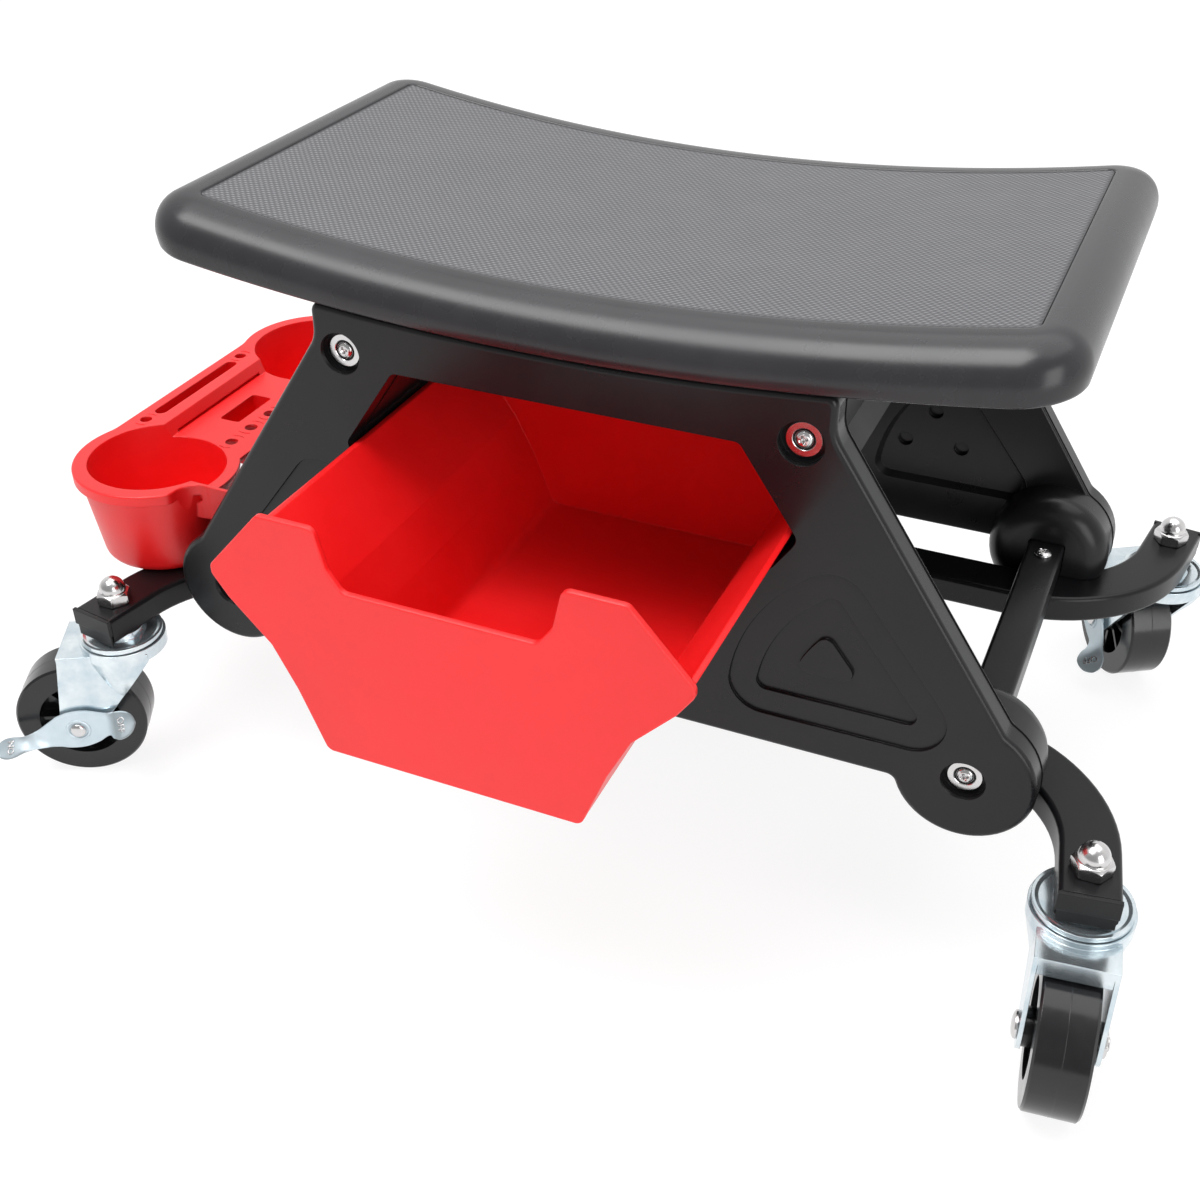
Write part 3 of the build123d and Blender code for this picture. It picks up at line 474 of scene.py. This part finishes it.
def lathe(name, profile, place, slot, body, steps=TURN_STEPS, shape=None):
    """A turned piece; shape(r, h, angle) may move each point, for hexagons and recesses."""
    verts, faces, rings = [], [], []
    for r, h in profile:
        count = 1 if r == 0 else steps
        rings.append((len(verts), count))
        for i in range(count):
            a = math.tau * i / steps
            radius, height = shape(r, h, a) if shape else (r, h)
            verts.append(place @ Vector((radius * math.cos(a), radius * math.sin(a), height)))
    for (a, count_a), (b, count_b) in zip(rings, rings[1:]):
        for i in range(steps):
            j = (i + 1) % steps
            if count_a == 1:
                faces.append((a, b + i, b + j))
            elif count_b == 1:
                faces.append((a + i, b, a + j))
            else:
                faces.append((a + i, b + i, b + j, a + j))
    obj = mesh_piece(name, verts, faces, slot, body)
    bm = bmesh.new()
    bm.from_mesh(obj.data)
    bmesh.ops.recalc_face_normals(bm, faces=bm.faces)
    bm.to_mesh(obj.data)
    bm.free()
    obj.data.set_sharp_from_angle(angle=SHARP_EDGE)
    return obj


def hexagon_radius(half_flats, a):
    """Radius of a hexagon at an angle."""
    sector = (a + math.pi / 6) % (math.pi / 3) - math.pi / 6
    return half_flats / math.cos(sector)


# Panel bolts, washers and crossbar screws, in mm: places, head radius and height
FOOT_BOLT = (207.2, 123.0)
RECESS_FLOOR_Y = 122.02
WASHER = [(5.2, 0), (5.2, 1.3), (5.5, 1.6), (8.2, 1.6), (8.5, 1.3), (8.5, 0.0), (5.2, 0)]
BOLT_HEAD = (4.4, 3.0)
BAR_SCREW = (207.2, 72.0, 133.0)
BAR_SCREW_HEAD = (4.9, 2.8)
HEAD_TOWARD = (0.4, 0, 1)
# Rings of a head: the fine ones in the middle and the coarser dome around them
FINE_STEPS = 14
DOME_STEPS = 22
# Shares of the head's radius and height: rim, low end of the dome, fine middle and cross recess
RIM_SHARE = 0.30
DOME_LOW_SHARE = 0.35
FINE_SHARE = 0.62
FINE_GAP_SHARE = 0.02
FINE_TOP_SHARE = 0.995
FINE_FALL_SHARE = 0.10
RECESS_REACH_SHARE = 0.52
RECESS_HALF_SHARE = 0.15
RECESS_DEPTH_SHARE = 0.62
# Cross recess, in mm: width of its soft edge and lowest height that it cuts; then its slopes
RECESS_SOFT = 0.18
RECESS_FLOOR = 0.6
RECESS_STEEP = 2.2
RECESS_END_SHARE = 0.45


def cross_recess(reach, half, depth):
    """Moves the points of a head for a cross recess with arms of a half width, deepest in the middle."""
    def shape(r, h, a):
        x, y = r * math.cos(a - math.pi / 4), r * math.sin(a - math.pi / 4)
        cut = 0.0
        for u, v in ((x, y), (y, x)):
            along = max(0.0, 1.0 - abs(u) / reach)
            across = min(1.0, max(0.0, (half - abs(v)) / RECESS_SOFT))
            slope = RECESS_END_SHARE + (1 - RECESS_END_SHARE) * along
            cut = max(cut, min(1.0, along * RECESS_STEEP) * across * depth * slope)
        return r, h - cut if h > RECESS_FLOOR else h
    return shape


def pan_head(name, origin, axis, head, body):
    """A domed screw head with a cross recess, with fine rings where the recess is."""
    r, tall = head
    fine = []
    for k in range(1, FINE_STEPS + 1):
        share = k / FINE_STEPS
        fine.append((r * FINE_SHARE * share, tall * (FINE_TOP_SHARE - FINE_FALL_SHARE * share ** 2)))
    outer = []
    for k in range(1, DOME_STEPS):
        a = math.radians(90 * k / DOME_STEPS)
        height = tall * (DOME_LOW_SHARE + (1 - DOME_LOW_SHARE) * math.cos(a))
        if math.sin(a) > FINE_SHARE + FINE_GAP_SHARE:
            outer.append((r * math.sin(a), height))
    outer.append((r, tall * RIM_SHARE))
    shape = cross_recess(r * RECESS_REACH_SHARE, r * RECESS_HALF_SHARE, tall * RECESS_DEPTH_SHARE)
    lathe(name, [(0, tall)] + fine + outer + [(r, 0.0), (0, 0)], frame_of(origin, axis, HEAD_TOWARD),
          "bright_zinc", body, shape=shape)


def build_bolts():
    for half, side in (("front_", -1), ("back_", 1)):
        number = 0
        for x, z in (UPPER_BOLT, FOOT_BOLT):
            for sign in (-1, 1):
                number += 1
                place = (sign * x, side * RECESS_FLOOR_Y, z)
                tag = half + str(number)
                lathe("washer_" + tag, WASHER, frame_of(place, (0, side, 0)), "bright_zinc", "stool")
                pan_head("bolt_" + tag, place, (0, side, 0), BOLT_HEAD, "stool")
    x, y, z = BAR_SCREW
    for end, sign in (("left_", -1), ("right_", 1)):
        for half, side in (("front", -1), ("back", 1)):
            pan_head("bar_screw_" + end + half, (sign * x, side * y, z), (0, 0, 1), BAR_SCREW_HEAD, "stool")


# Acorn nuts, in mm: half width across the flats, the hexagon's corner and chamfer, the dome
NUT_FLATS = 8.5
NUT_CORNER = 9.82
NUT_HEX_HIGH = 6.6
NUT_CHAMFER_LOW = 5.1
NUT_CHAMFER_RINGS = 16
NUT_CHAMFER_IN = 0.11
NUT_CHAMFER_UP = 0.1
NUT_TALL = 15.4
NUT_DOME = 7.3
NUT_DOME_LOW = 8.1
NUT_DOME_POWER = 1.12
NUT_DOME_RINGS = 15
NUT_CLEAR = 0.1
NUT_MARGIN = 0.01
NUT_FOOT = [(0, 0.05), (5.0, 0.05), (8.9, 0.05), (9.4, 0.3), (NUT_CORNER, 0.75)]
NUT_NECK = [(8.0, 6.65), (NUT_DOME + 0.25, 7.0), (NUT_DOME, 7.5), (NUT_DOME, NUT_DOME_LOW)]


def build_nuts():
    def shape(r, h, a):
        if h <= NUT_HEX_HIGH + NUT_MARGIN and r > NUT_DOME + NUT_CLEAR:
            return min(hexagon_radius(NUT_FLATS, a + math.pi / 6), r), h
        return r, h

    chamfer = [(NUT_CORNER - NUT_CHAMFER_IN * k, NUT_CHAMFER_LOW + NUT_CHAMFER_UP * k)
               for k in range(NUT_CHAMFER_RINGS)]
    dome = []
    for k in range(1, NUT_DOME_RINGS):
        a = math.radians(90 * k / NUT_DOME_RINGS)
        height = NUT_DOME_LOW + (NUT_TALL - NUT_DOME_LOW) * math.sin(a)
        dome.append((NUT_DOME * math.cos(a) ** NUT_DOME_POWER, height))
    profile = NUT_FOOT + chamfer + NUT_NECK + dome + [(0, NUT_TALL)]
    for corner in CORNERS:
        low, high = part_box("acorn_nut_" + corner)
        middle_x, middle_y = [(low[i] + high[i]) / 2 for i in (0, 1)]
        place = Matrix.Translation((middle_x, middle_y, low[2])) @ Matrix.Scale(MM, 4)
        nut = lathe("nut_" + corner, profile, place, "bright_zinc", "stool", steps=NUT_STEPS, shape=shape)
        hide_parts("acorn_nut_" + corner)


build_bolts()
build_nuts()


# Casters: tread seams, brake levers with raised words, rivets and axle bolts
def hinge_frame(joint):
    """Matrix from local mm to metres: origin on the hinge, y along its axis, z up."""
    y = Vector(joint["axis"]).normalized()
    z = Vector((0, 0, 1))
    x = y.cross(z)
    turned = Matrix((x, y, z)).transposed().to_4x4()
    return Matrix.Translation(Vector(joint["pos_m"])) @ turned @ Matrix.Scale(MM, 4)


def ring_piece(name, profile, place, slot, body, steps=RING_STEPS):
    """A closed ring about the local y axis; the profile gives (radius, y)."""
    verts, faces = [], []
    count = len(profile)
    for i in range(steps):
        a = math.tau * i / steps
        verts += [place @ Vector((r * math.cos(a), h, r * math.sin(a))) for r, h in profile]
    for i in range(steps):
        for k in range(count):
            a, b = i * count, ((i + 1) % steps) * count
            faces.append((a + k, a + (k + 1) % count, b + (k + 1) % count, b + k))
    mesh_piece(name, verts, faces, slot, body)


def smooth_through(stations, u):
    """Cubic interpolation through rows of (u, values...)."""
    tiny = 0.001
    for first in range(len(stations) - 1):
        if stations[first][0] <= u <= stations[first + 1][0]:
            break
    p0, p1 = stations[max(first - 1, 0)], stations[first]
    p2, p3 = stations[first + 1], stations[min(first + 2, len(stations) - 1)]
    t = (u - p1[0]) / (p2[0] - p1[0])
    result = []
    for k in range(1, len(p1)):
        m1 = (p2[k] - p0[k]) / max(p2[0] - p0[0], tiny) * (p2[0] - p1[0])
        m2 = (p3[k] - p1[k]) / max(p3[0] - p1[0], tiny) * (p2[0] - p1[0])
        result.append((2 * t ** 3 - 3 * t ** 2 + 1) * p1[k] + (t ** 3 - 2 * t ** 2 + t) * m1
                      + (-2 * t ** 3 + 3 * t ** 2) * p2[k] + (t ** 3 - t ** 2) * m2)
    return result


# Stations along the lever: place, half width, turn of the face upward in degrees, shift outward, shift up
LEVER = [
    (-36.0, 0.9, 52, 6.6, 0.6), (-35.2, 3.4, 52, 6.6, 0.6), (-33.4, 5.9, 52, 6.6, 0.6),
    (-30.0, 7.9, 52, 6.6, 0.6), (-26.0, 8.5, 50, 6.4, 0.6), (-22.0, 7.7, 40, 4.8, 0.5),
    (-18.0, 7.2, 16, 1.8, 0.2), (-14.0, 8.8, 3, 0.2, 0.0), (-9.0, 11.3, 0, 0, 0),
    (0.0, 12.8, 0, 0, 0), (9.0, 11.6, 0, 0, 0), (15.0, 8.8, 2, 0.1, 0),
    (21.0, 6.2, 14, 1.0, 0), (27.0, 4.8, 40, 3.0, 0.2), (32.0, 4.9, 58, 4.6, 0.4),
    (38.0, 6.3, 60, 5.4, 0.5), (43.0, 6.3, 60, 5.4, 0.5), (46.6, 4.6, 60, 5.4, 0.5),
    (48.4, 2.2, 60, 5.4, 0.5), (49.0, 0.6, 60, 5.4, 0.5)]
LEVER_THICK = 1.7
LEVER_PLANE = 21.3
LEVER_STEPS = 110
LEVER_WIDE_STEPS = 14
LEVER_EDGE = 0.45
LEVER_TIP_HALF = 0.3
# The ends are dished from here on, and painted darker over these stretches for the dark reflection they
# catch: start and length of each
DISH_FROM = 20
DISH = 0.5
SHORT_END = (18, 6)
LONG_END = (25, 7)
# Turn of the lever at rest, in degrees
LEVER_TURNS = {"fl": 12, "br": -45}
LEVER_SHARP = math.radians(50)
# Profiles (radius, y) of the ring round the rivet, the boss behind the plate and the foot of the rivet
LEVER_RING = [(5.3, 22.1), (5.4, 22.5), (5.9, 22.85), (6.4, 22.85), (6.9, 22.5), (7.3, 22.1)]
LEVER_BOSS = [(4.2, 19.0), (8.3, 19.0), (8.5, 19.2), (8.5, 20.9), (4.2, 20.9)]
RIVET_DOME = 4.5
RIVET_DOME_LOW = 22.9
RIVET_DOME_HIGH = 2.0
RIVET_DOME_RINGS = 10
RIVET_FOOT = [(RIVET_DOME, 22.5), (3.9, 22.4), (3.9, -18.9), (6.6, -18.9), (7.0, -19.3), (7.0, -20.3),
              (6.4, -20.9), (0, -20.9)]
# Words: text, place along the lever, and the way their top points along it
WORDS = (("OFF", -27.6, -1), ("ON", 39.5, 1))
WORD_SIZE = 5.4
WORD_RAISE = 0.5
WORD_EDGE = 0.1


def lever_point(u, s, lift):
    """Point on the lever: u along, s across from -1 to 1, lift from the middle of the sheet."""
    half, twist, out, rise = smooth_through(LEVER, u)
    a = math.radians(twist)
    across = half * s
    return Vector((u, LEVER_PLANE + out - across * math.sin(a) + lift * math.cos(a),
                   rise + across * math.cos(a) + lift * math.sin(a)))


def lever_section():
    """Outline of the sheet: (share across, side of the sheet), with three points round each long edge."""
    wide = LEVER_WIDE_STEPS
    section = [(-1 + 2 * k / wide, 1) for k in range(wide + 1)]
    section += [(1, math.cos(math.radians(45 * k))) for k in (1, 2, 3)]
    section += [(1 - 2 * k / wide, -1) for k in range(wide + 1)]
    section += [(-1, -math.cos(math.radians(45 * k))) for k in (1, 2, 3)]
    return section


def end_reflection_share(u):
    """Share of the painted dark reflection on the lever's ends, from 0 to 1."""
    return min(max((-u - SHORT_END[0]) / SHORT_END[1], (u - LONG_END[0]) / LONG_END[1], 0), 1)


def build_lever_plate(corner, place):
    start, length = LEVER[0][0], LEVER[-1][0] - LEVER[0][0]
    section = lever_section()
    count = len(section)
    verts, faces, ends = [], [], []
    for i in range(LEVER_STEPS + 1):
        u = start + length * (1 - math.cos(math.pi * i / LEVER_STEPS)) / 2
        half = max(smooth_through(LEVER, u)[0], LEVER_TIP_HALF)
        for s, side in section:
            at_edge = abs(side) == 1 and abs(s) == 1 and half > 1
            shrink = (half - LEVER_EDGE) / half if at_edge else 1.0
            dish = DISH * s * s if abs(u) > DISH_FROM else 0.0
            verts.append(place @ lever_point(u, s * shrink, side * LEVER_THICK / 2 + dish))
            ends.append(end_reflection_share(u))
    for i in range(LEVER_STEPS):
        for k in range(count):
            faces.append((i * count + k, i * count + (k + 1) % count, (i + 1) * count + (k + 1) % count,
                          (i + 1) * count + k))
    faces.append(tuple(range(count))[::-1])
    faces.append(tuple(LEVER_STEPS * count + k for k in range(count)))
    lever = mesh_piece("lever_plate_" + corner, verts, faces, "lever_zinc", "lever_" + corner)
    lever.data.attributes.new("end", "FLOAT", "POINT").data.foreach_set("value", ends)
    lever.data.set_sharp_from_angle(angle=LEVER_SHARP)
    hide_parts("brake_lever_" + corner)


def build_rivet(corner, place):
    dome = [(0, RIVET_DOME_LOW + RIVET_DOME_HIGH)]
    for k in range(1, RIVET_DOME_RINGS + 1):
        a = math.radians(90 * k / RIVET_DOME_RINGS)
        dome.append((RIVET_DOME * math.sin(a), RIVET_DOME_LOW + RIVET_DOME_HIGH * math.cos(a)))
    turned = place @ Matrix.Rotation(math.radians(-90), 4, "X")
    rivet = lathe("rivet_" + corner, dome + RIVET_FOOT, turned, "bright_zinc", "swivel_" + corner,
                  steps=RIVET_STEPS)
    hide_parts("axle_" + corner)


def raise_word(word, u, heading, corner, place):
    """A raised word on the outer face of one end of the lever."""
    across = (lever_point(u, 1, 0) - lever_point(u, -1, 0)).normalized()
    outer = (lever_point(u, 0, 1) - lever_point(u, 0, 0)).normalized()
    top = across.cross(outer).normalized()
    if top.x * heading < 0:
        top = -top
    text = bpy.data.curves.new("word_" + word.lower(), "FONT")
    text.body = word
    text.size = WORD_SIZE
    text.extrude = WORD_RAISE
    text.bevel_depth = WORD_EDGE
    text.align_x = "CENTER"
    text.align_y = "CENTER"
    text.resolution_u = 4
    obj = linked("word_" + word.lower() + "_" + corner, text)
    turned = Matrix((top.cross(outer), top, outer)).transposed().to_4x4()
    obj.matrix_world = place @ Matrix.Translation(lever_point(u, 0, LEVER_THICK / 2)) @ turned
    obj.data.materials.append(MATERIALS["bright_zinc"])
    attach(obj, "lever_" + corner)


def build_lever(corner):
    """One lever. Its local frame about the axle, in mm: x along the long arm, y outward, z across the arm."""
    turn = Matrix.Rotation(math.radians(LEVER_TURNS[corner]), 4, "Y")
    place = hinge_frame(joints["wheel_spin_" + corner]) @ turn
    build_lever_plate(corner, place)
    ring_piece("lever_ring_" + corner, LEVER_RING, place, "lever_zinc", "lever_" + corner)
    ring_piece("lever_boss_" + corner, LEVER_BOSS, place, "zinc", "lever_" + corner)
    build_rivet(corner, place)
    for word, u, heading in WORDS:
        raise_word(word, u, heading, corner, place)


# Plain axle, in mm: radius and height along it; the hexagon nut is above the height AXLE_NUT_FROM
AXLE_BOLT = [(0, 22.0), (2.9, 22.0), (3.4, 21.6), (3.4, 21.0), (5.0, 21.0), (5.8, 20.9), (6.4, 20.6),
             (6.93, 20.1), (6.93, 19.1), (3.9, 18.95), (3.9, -18.95), (6.6, -19.0), (6.9, -19.4),
             (6.6, -20.4), (5.2, -21.3), (3.0, -21.8), (0, -21.95)]
AXLE_NUT_FLATS = 6.0
AXLE_NUT_FROM = 19.0
# Tread seam: radius and place across the tread
TREAD_SEAM = [(37.2, -0.35), (37.46, -0.35), (37.6, 0.0), (37.46, 0.35), (37.2, 0.35)]


def build_plain_axle(corner):
    """Hexagon nut with the bolt's end on one side, a low rounded head on the other."""
    def shape(r, h, a):
        return (min(hexagon_radius(AXLE_NUT_FLATS, a), r), h) if h > AXLE_NUT_FROM else (r, h)

    turned = hinge_frame(joints["wheel_spin_" + corner]) @ Matrix.Rotation(math.radians(-90), 4, "X")
    bolt = lathe("axle_bolt_" + corner, AXLE_BOLT, turned, "bright_zinc", "swivel_" + corner,
                 steps=AXLE_STEPS, shape=shape)
    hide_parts("axle_" + corner)


def build_casters():
    for corner in CORNERS:
        place = hinge_frame(joints["wheel_spin_" + corner])
        ring_piece("tread_seam_" + corner, TREAD_SEAM, place, "wheel", "roller_" + corner)
    for corner in LEVER_TURNS:
        build_lever(corner)
    for corner in ("fr", "bl"):
        build_plain_axle(corner)


build_casters()


# Panel lines, painted dark for the shade at the steps they follow (the parting seam and the triangles'
# outlines), in mm: tag, place from the middle of the stool, radius, and range of the outlines' spread.
# Points that are closer than these distances in metres are one point, before and after the cut.
PANEL_LINES = (("panel_seam_", 114.5, 0.5, (150, 1000)), ("panel_outer_line_", 127.1, 0.28, (30, 145)),
               ("panel_inner_line_", 125.4, 0.28, (12, 145)))
SAME_POINT = 0.00002
SAME_CUT_POINT = 0.0002


def chains_of(edges):
    """Walks loose edges into chains of vertices."""
    left = set(edges)
    while left:
        edge = left.pop()
        chain = [edge.verts[0], edge.verts[1]]
        growing = True
        while growing:
            growing = False
            for option in chain[-1].link_edges:
                if option in left:
                    left.discard(option)
                    chain.append(option.other_vert(chain[-1]))
                    growing = True
                    break
        yield chain


def panel_line(node, y, name, radius, spread):
    """A thin line, painted dark for the shade at the step it follows, where the plane y meets a panel, for
    the outlines whose spread is in the range.
    """
    bm = bmesh.new()
    bm.from_mesh(nodes[node].data)
    bmesh.ops.remove_doubles(bm, verts=bm.verts, dist=SAME_POINT)
    bmesh.ops.bisect_plane(bm, geom=bm.verts[:] + bm.edges[:] + bm.faces[:], plane_co=at(0, y, 0),
                           plane_no=(0, 1, 0), clear_inner=True, clear_outer=True)
    bmesh.ops.remove_doubles(bm, verts=bm.verts, dist=SAME_CUT_POINT)
    curve = bpy.data.curves.new(name, "CURVE")
    curve.dimensions = "3D"
    curve.bevel_depth = radius * MM
    curve.bevel_resolution = 1
    for chain in chains_of(bm.edges):
        wide = max(max(v.co[i] for v in chain) - min(v.co[i] for v in chain) for i in (0, 2)) / MM
        if not spread[0] < wide < spread[1]:
            continue
        closed = chain[0] is chain[-1]
        points = chain[:-1] if closed else chain
        spline = curve.splines.new("POLY")
        spline.points.add(len(points) - 1)
        for spline_point, vert in zip(spline.points, points):
            spline_point.co = (*vert.co, 1)
        spline.use_cyclic_u = closed
    bm.free()
    obj = linked(name, curve)
    obj.data.materials.append(STEP_SHADE_LINE)
    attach(obj, "stool")


for half, sign in (("front", -1), ("back", 1)):
    for tag, place, radius, spread in PANEL_LINES:
        panel_line("panel_" + half, sign * place, tag + half, radius, spread)


# Tray marks, in mm: the holes that they stand beside (x, y, radius of the arc), and the arcs' section
SHELF_MARKS = [(-262.0, 20.3 * k, 8.0) for k in range(-2, 3)]
RAIL_MARKS = [(-317.5, y, 7.0) for y in (-49.2, 49.2)]
MARK_STARTS = (60, 240)
MARK_SWEEP = 60
MARK_STEPS = 16
MARK_HALF = 0.35
MARK_HIGH = 0.22
MARK_SUNK = -0.1
MARK_TOP_SHARE = 0.6
MARK_END_SHARE = 0.04
ABOVE_TRAY = 400
LEVEL_ENOUGH = 0.95


def tray_mark(x, y, z, r, start):
    """Points and faces of one low arc that thins out at its ends."""
    verts, faces = [], []
    for i in range(MARK_STEPS + 1):
        a = math.radians(start + MARK_SWEEP * i / MARK_STEPS)
        along = min(max(i / MARK_STEPS, MARK_END_SHARE), 1 - MARK_END_SHARE)
        wide = MARK_HALF * math.sqrt(math.sin(math.pi * along))
        top = wide * MARK_TOP_SHARE
        section = ((-wide, MARK_SUNK), (-top, MARK_HIGH), (top, MARK_HIGH), (wide, MARK_SUNK))
        for out, up in section:
            verts.append(at(x + (r + out) * math.cos(a), y + (r + out) * math.sin(a), z + up))
    for i in range(MARK_STEPS):
        for k in range(4):
            a, b = i * 4, (i + 1) * 4
            faces.append((a + k, b + k, b + (k + 1) % 4, a + (k + 1) % 4))
    faces += [(3, 2, 1, 0), tuple(MARK_STEPS * 4 + k for k in range(4))]
    return verts, faces


def build_tray_marks():
    """Low raised arcs moulded beside the small holes of the tray."""
    made = 0
    for x, y, r in SHELF_MARKS + RAIL_MARKS:
        for start in MARK_STARTS:
            half_way = math.radians(start + MARK_SWEEP // 2)
            above = at(x + r * math.cos(half_way), y + r * math.sin(half_way), ABOVE_TRAY)
            hit, point, normal, _ = nodes["tool_tray"].ray_cast(above, Vector((0, 0, -1)))
            if not hit or normal.z < LEVEL_ENOUGH:
                continue
            made += 1
            verts, faces = tray_mark(x, y, (point.z - STOOL.z * MM) / MM, r, start)
            mesh_piece("tray_mark_%d" % made, verts, faces, "red_plastic", "stool")


build_tray_marks()


# Floor, background and light, in metres and watts
FLOOR_HALF = 6.0
FLOOR_DROP = 0.0003
FLOOR_SHADE = 0.22
FLOOR_GLOW = 0.86
FLOOR_BOUNCE = 0.8
ROOM_LIGHT = 0.42
# Strength of the mirrored room from front to back, over this range of the direction's Y
MIRRORED_LIGHT = (0.40, 1.0)
MIRRORED_RANGE = (-0.7, 0.3)
# Lamps: name, place, target, size and power
LAMPS = (("key", (-0.7, -0.8, 2.75), (0, 0, 0.2), (1.5, 1.5), 58),
         ("front", (2.3, -1.7, 1.0), (0, 0, 0.15), (1.4, 2.0), 31),
         ("top", (0.2, 0.6, 2.6), (0, 0, 0.3), (3.2, 2.2), 34))


def grey(level):
    return level, level, level, 1


def either_ray(tree, path, first, second):
    """1 for rays of either kind, otherwise 0."""
    node = tree.nodes.new("ShaderNodeMath")
    node.operation = "MAXIMUM"
    tree.links.new(path.outputs[first], node.inputs[0])
    tree.links.new(path.outputs[second], node.inputs[1])
    return node.outputs[0]


def mixed(tree, share, first, second):
    """Mix of two shader outputs."""
    node = tree.nodes.new("ShaderNodeMixShader")
    for socket, output in zip(node.inputs, (share, first, second)):
        tree.links.new(output, socket)
    return node.outputs[0]


def stage_floor():
    """A pale floor: camera and metal see it glow white, other rays get its plain bounce."""
    mesh = bpy.data.meshes.new("floor")
    corners = [(x * FLOOR_HALF, y * FLOOR_HALF, 0) for x, y in ((-1, -1), (1, -1), (1, 1), (-1, 1))]
    mesh.from_pydata(corners, [], [(0, 1, 2, 3)])
    floor = linked("floor", mesh)
    floor.location.z = -FLOOR_DROP
    mat = bpy.data.materials.new("pale_floor")
    mat.use_nodes = True
    tree = mat.node_tree
    tree.nodes.clear()
    path = tree.nodes.new("ShaderNodeLightPath")
    shade = add(tree, "ShaderNodeBsdfDiffuse", Color=grey(FLOOR_SHADE))
    glow = add(tree, "ShaderNodeEmission", Color=grey(1), Strength=FLOOR_GLOW)
    bounce = add(tree, "ShaderNodeBsdfDiffuse", Color=grey(FLOOR_BOUNCE))
    seen = tree.nodes.new("ShaderNodeAddShader")
    tree.links.new(shade.outputs[0], seen.inputs[0])
    tree.links.new(glow.outputs[0], seen.inputs[1])
    direct = either_ray(tree, path, "Is Camera Ray", "Is Glossy Ray")
    out = tree.nodes.new("ShaderNodeOutputMaterial")
    tree.links.new(mixed(tree, direct, bounce.outputs[0], seen.outputs[0]), out.inputs["Surface"])
    mesh.materials.append(mat)


def studio_world():
    """Soft room light; metal mirrors a room that is paler at the back, and the camera sees white."""
    world = bpy.data.worlds.new("studio")
    bpy.context.scene.world = world
    world.use_nodes = True
    tree = world.node_tree
    tree.nodes.clear()
    path = tree.nodes.new("ShaderNodeLightPath")
    place = tree.nodes.new("ShaderNodeTexCoord")
    parts = tree.nodes.new("ShaderNodeSeparateXYZ")
    tree.links.new(place.outputs["Generated"], parts.inputs[0])
    room = add(tree, "ShaderNodeBackground", Color=grey(1), Strength=ROOM_LIGHT)
    mirrored = add(tree, "ShaderNodeBackground", Color=grey(1))
    strength = span(tree, parts.outputs["Y"], *MIRRORED_LIGHT, *MIRRORED_RANGE)
    tree.links.new(strength, mirrored.inputs["Strength"])
    white = add(tree, "ShaderNodeBackground", Color=grey(1), Strength=1.0)
    behind = either_ray(tree, path, "Is Camera Ray", "Is Transmission Ray")
    around = mixed(tree, path.outputs["Is Glossy Ray"], room.outputs[0], mirrored.outputs[0])
    out = tree.nodes.new("ShaderNodeOutputWorld")
    tree.links.new(mixed(tree, behind, around, white.outputs[0]), out.inputs["Surface"])


def lamp(name, place, target, size, power):
    data = bpy.data.lights.new(name, "AREA")
    data.shape = "RECTANGLE"
    data.size, data.size_y = size
    data.energy = power
    obj = linked(name, data)
    obj.location = place
    obj.rotation_euler = (Vector(target) - Vector(place)).to_track_quat("-Z", "Y").to_euler()


stage_floor()
studio_world()
for row in LAMPS:
    lamp(*row)
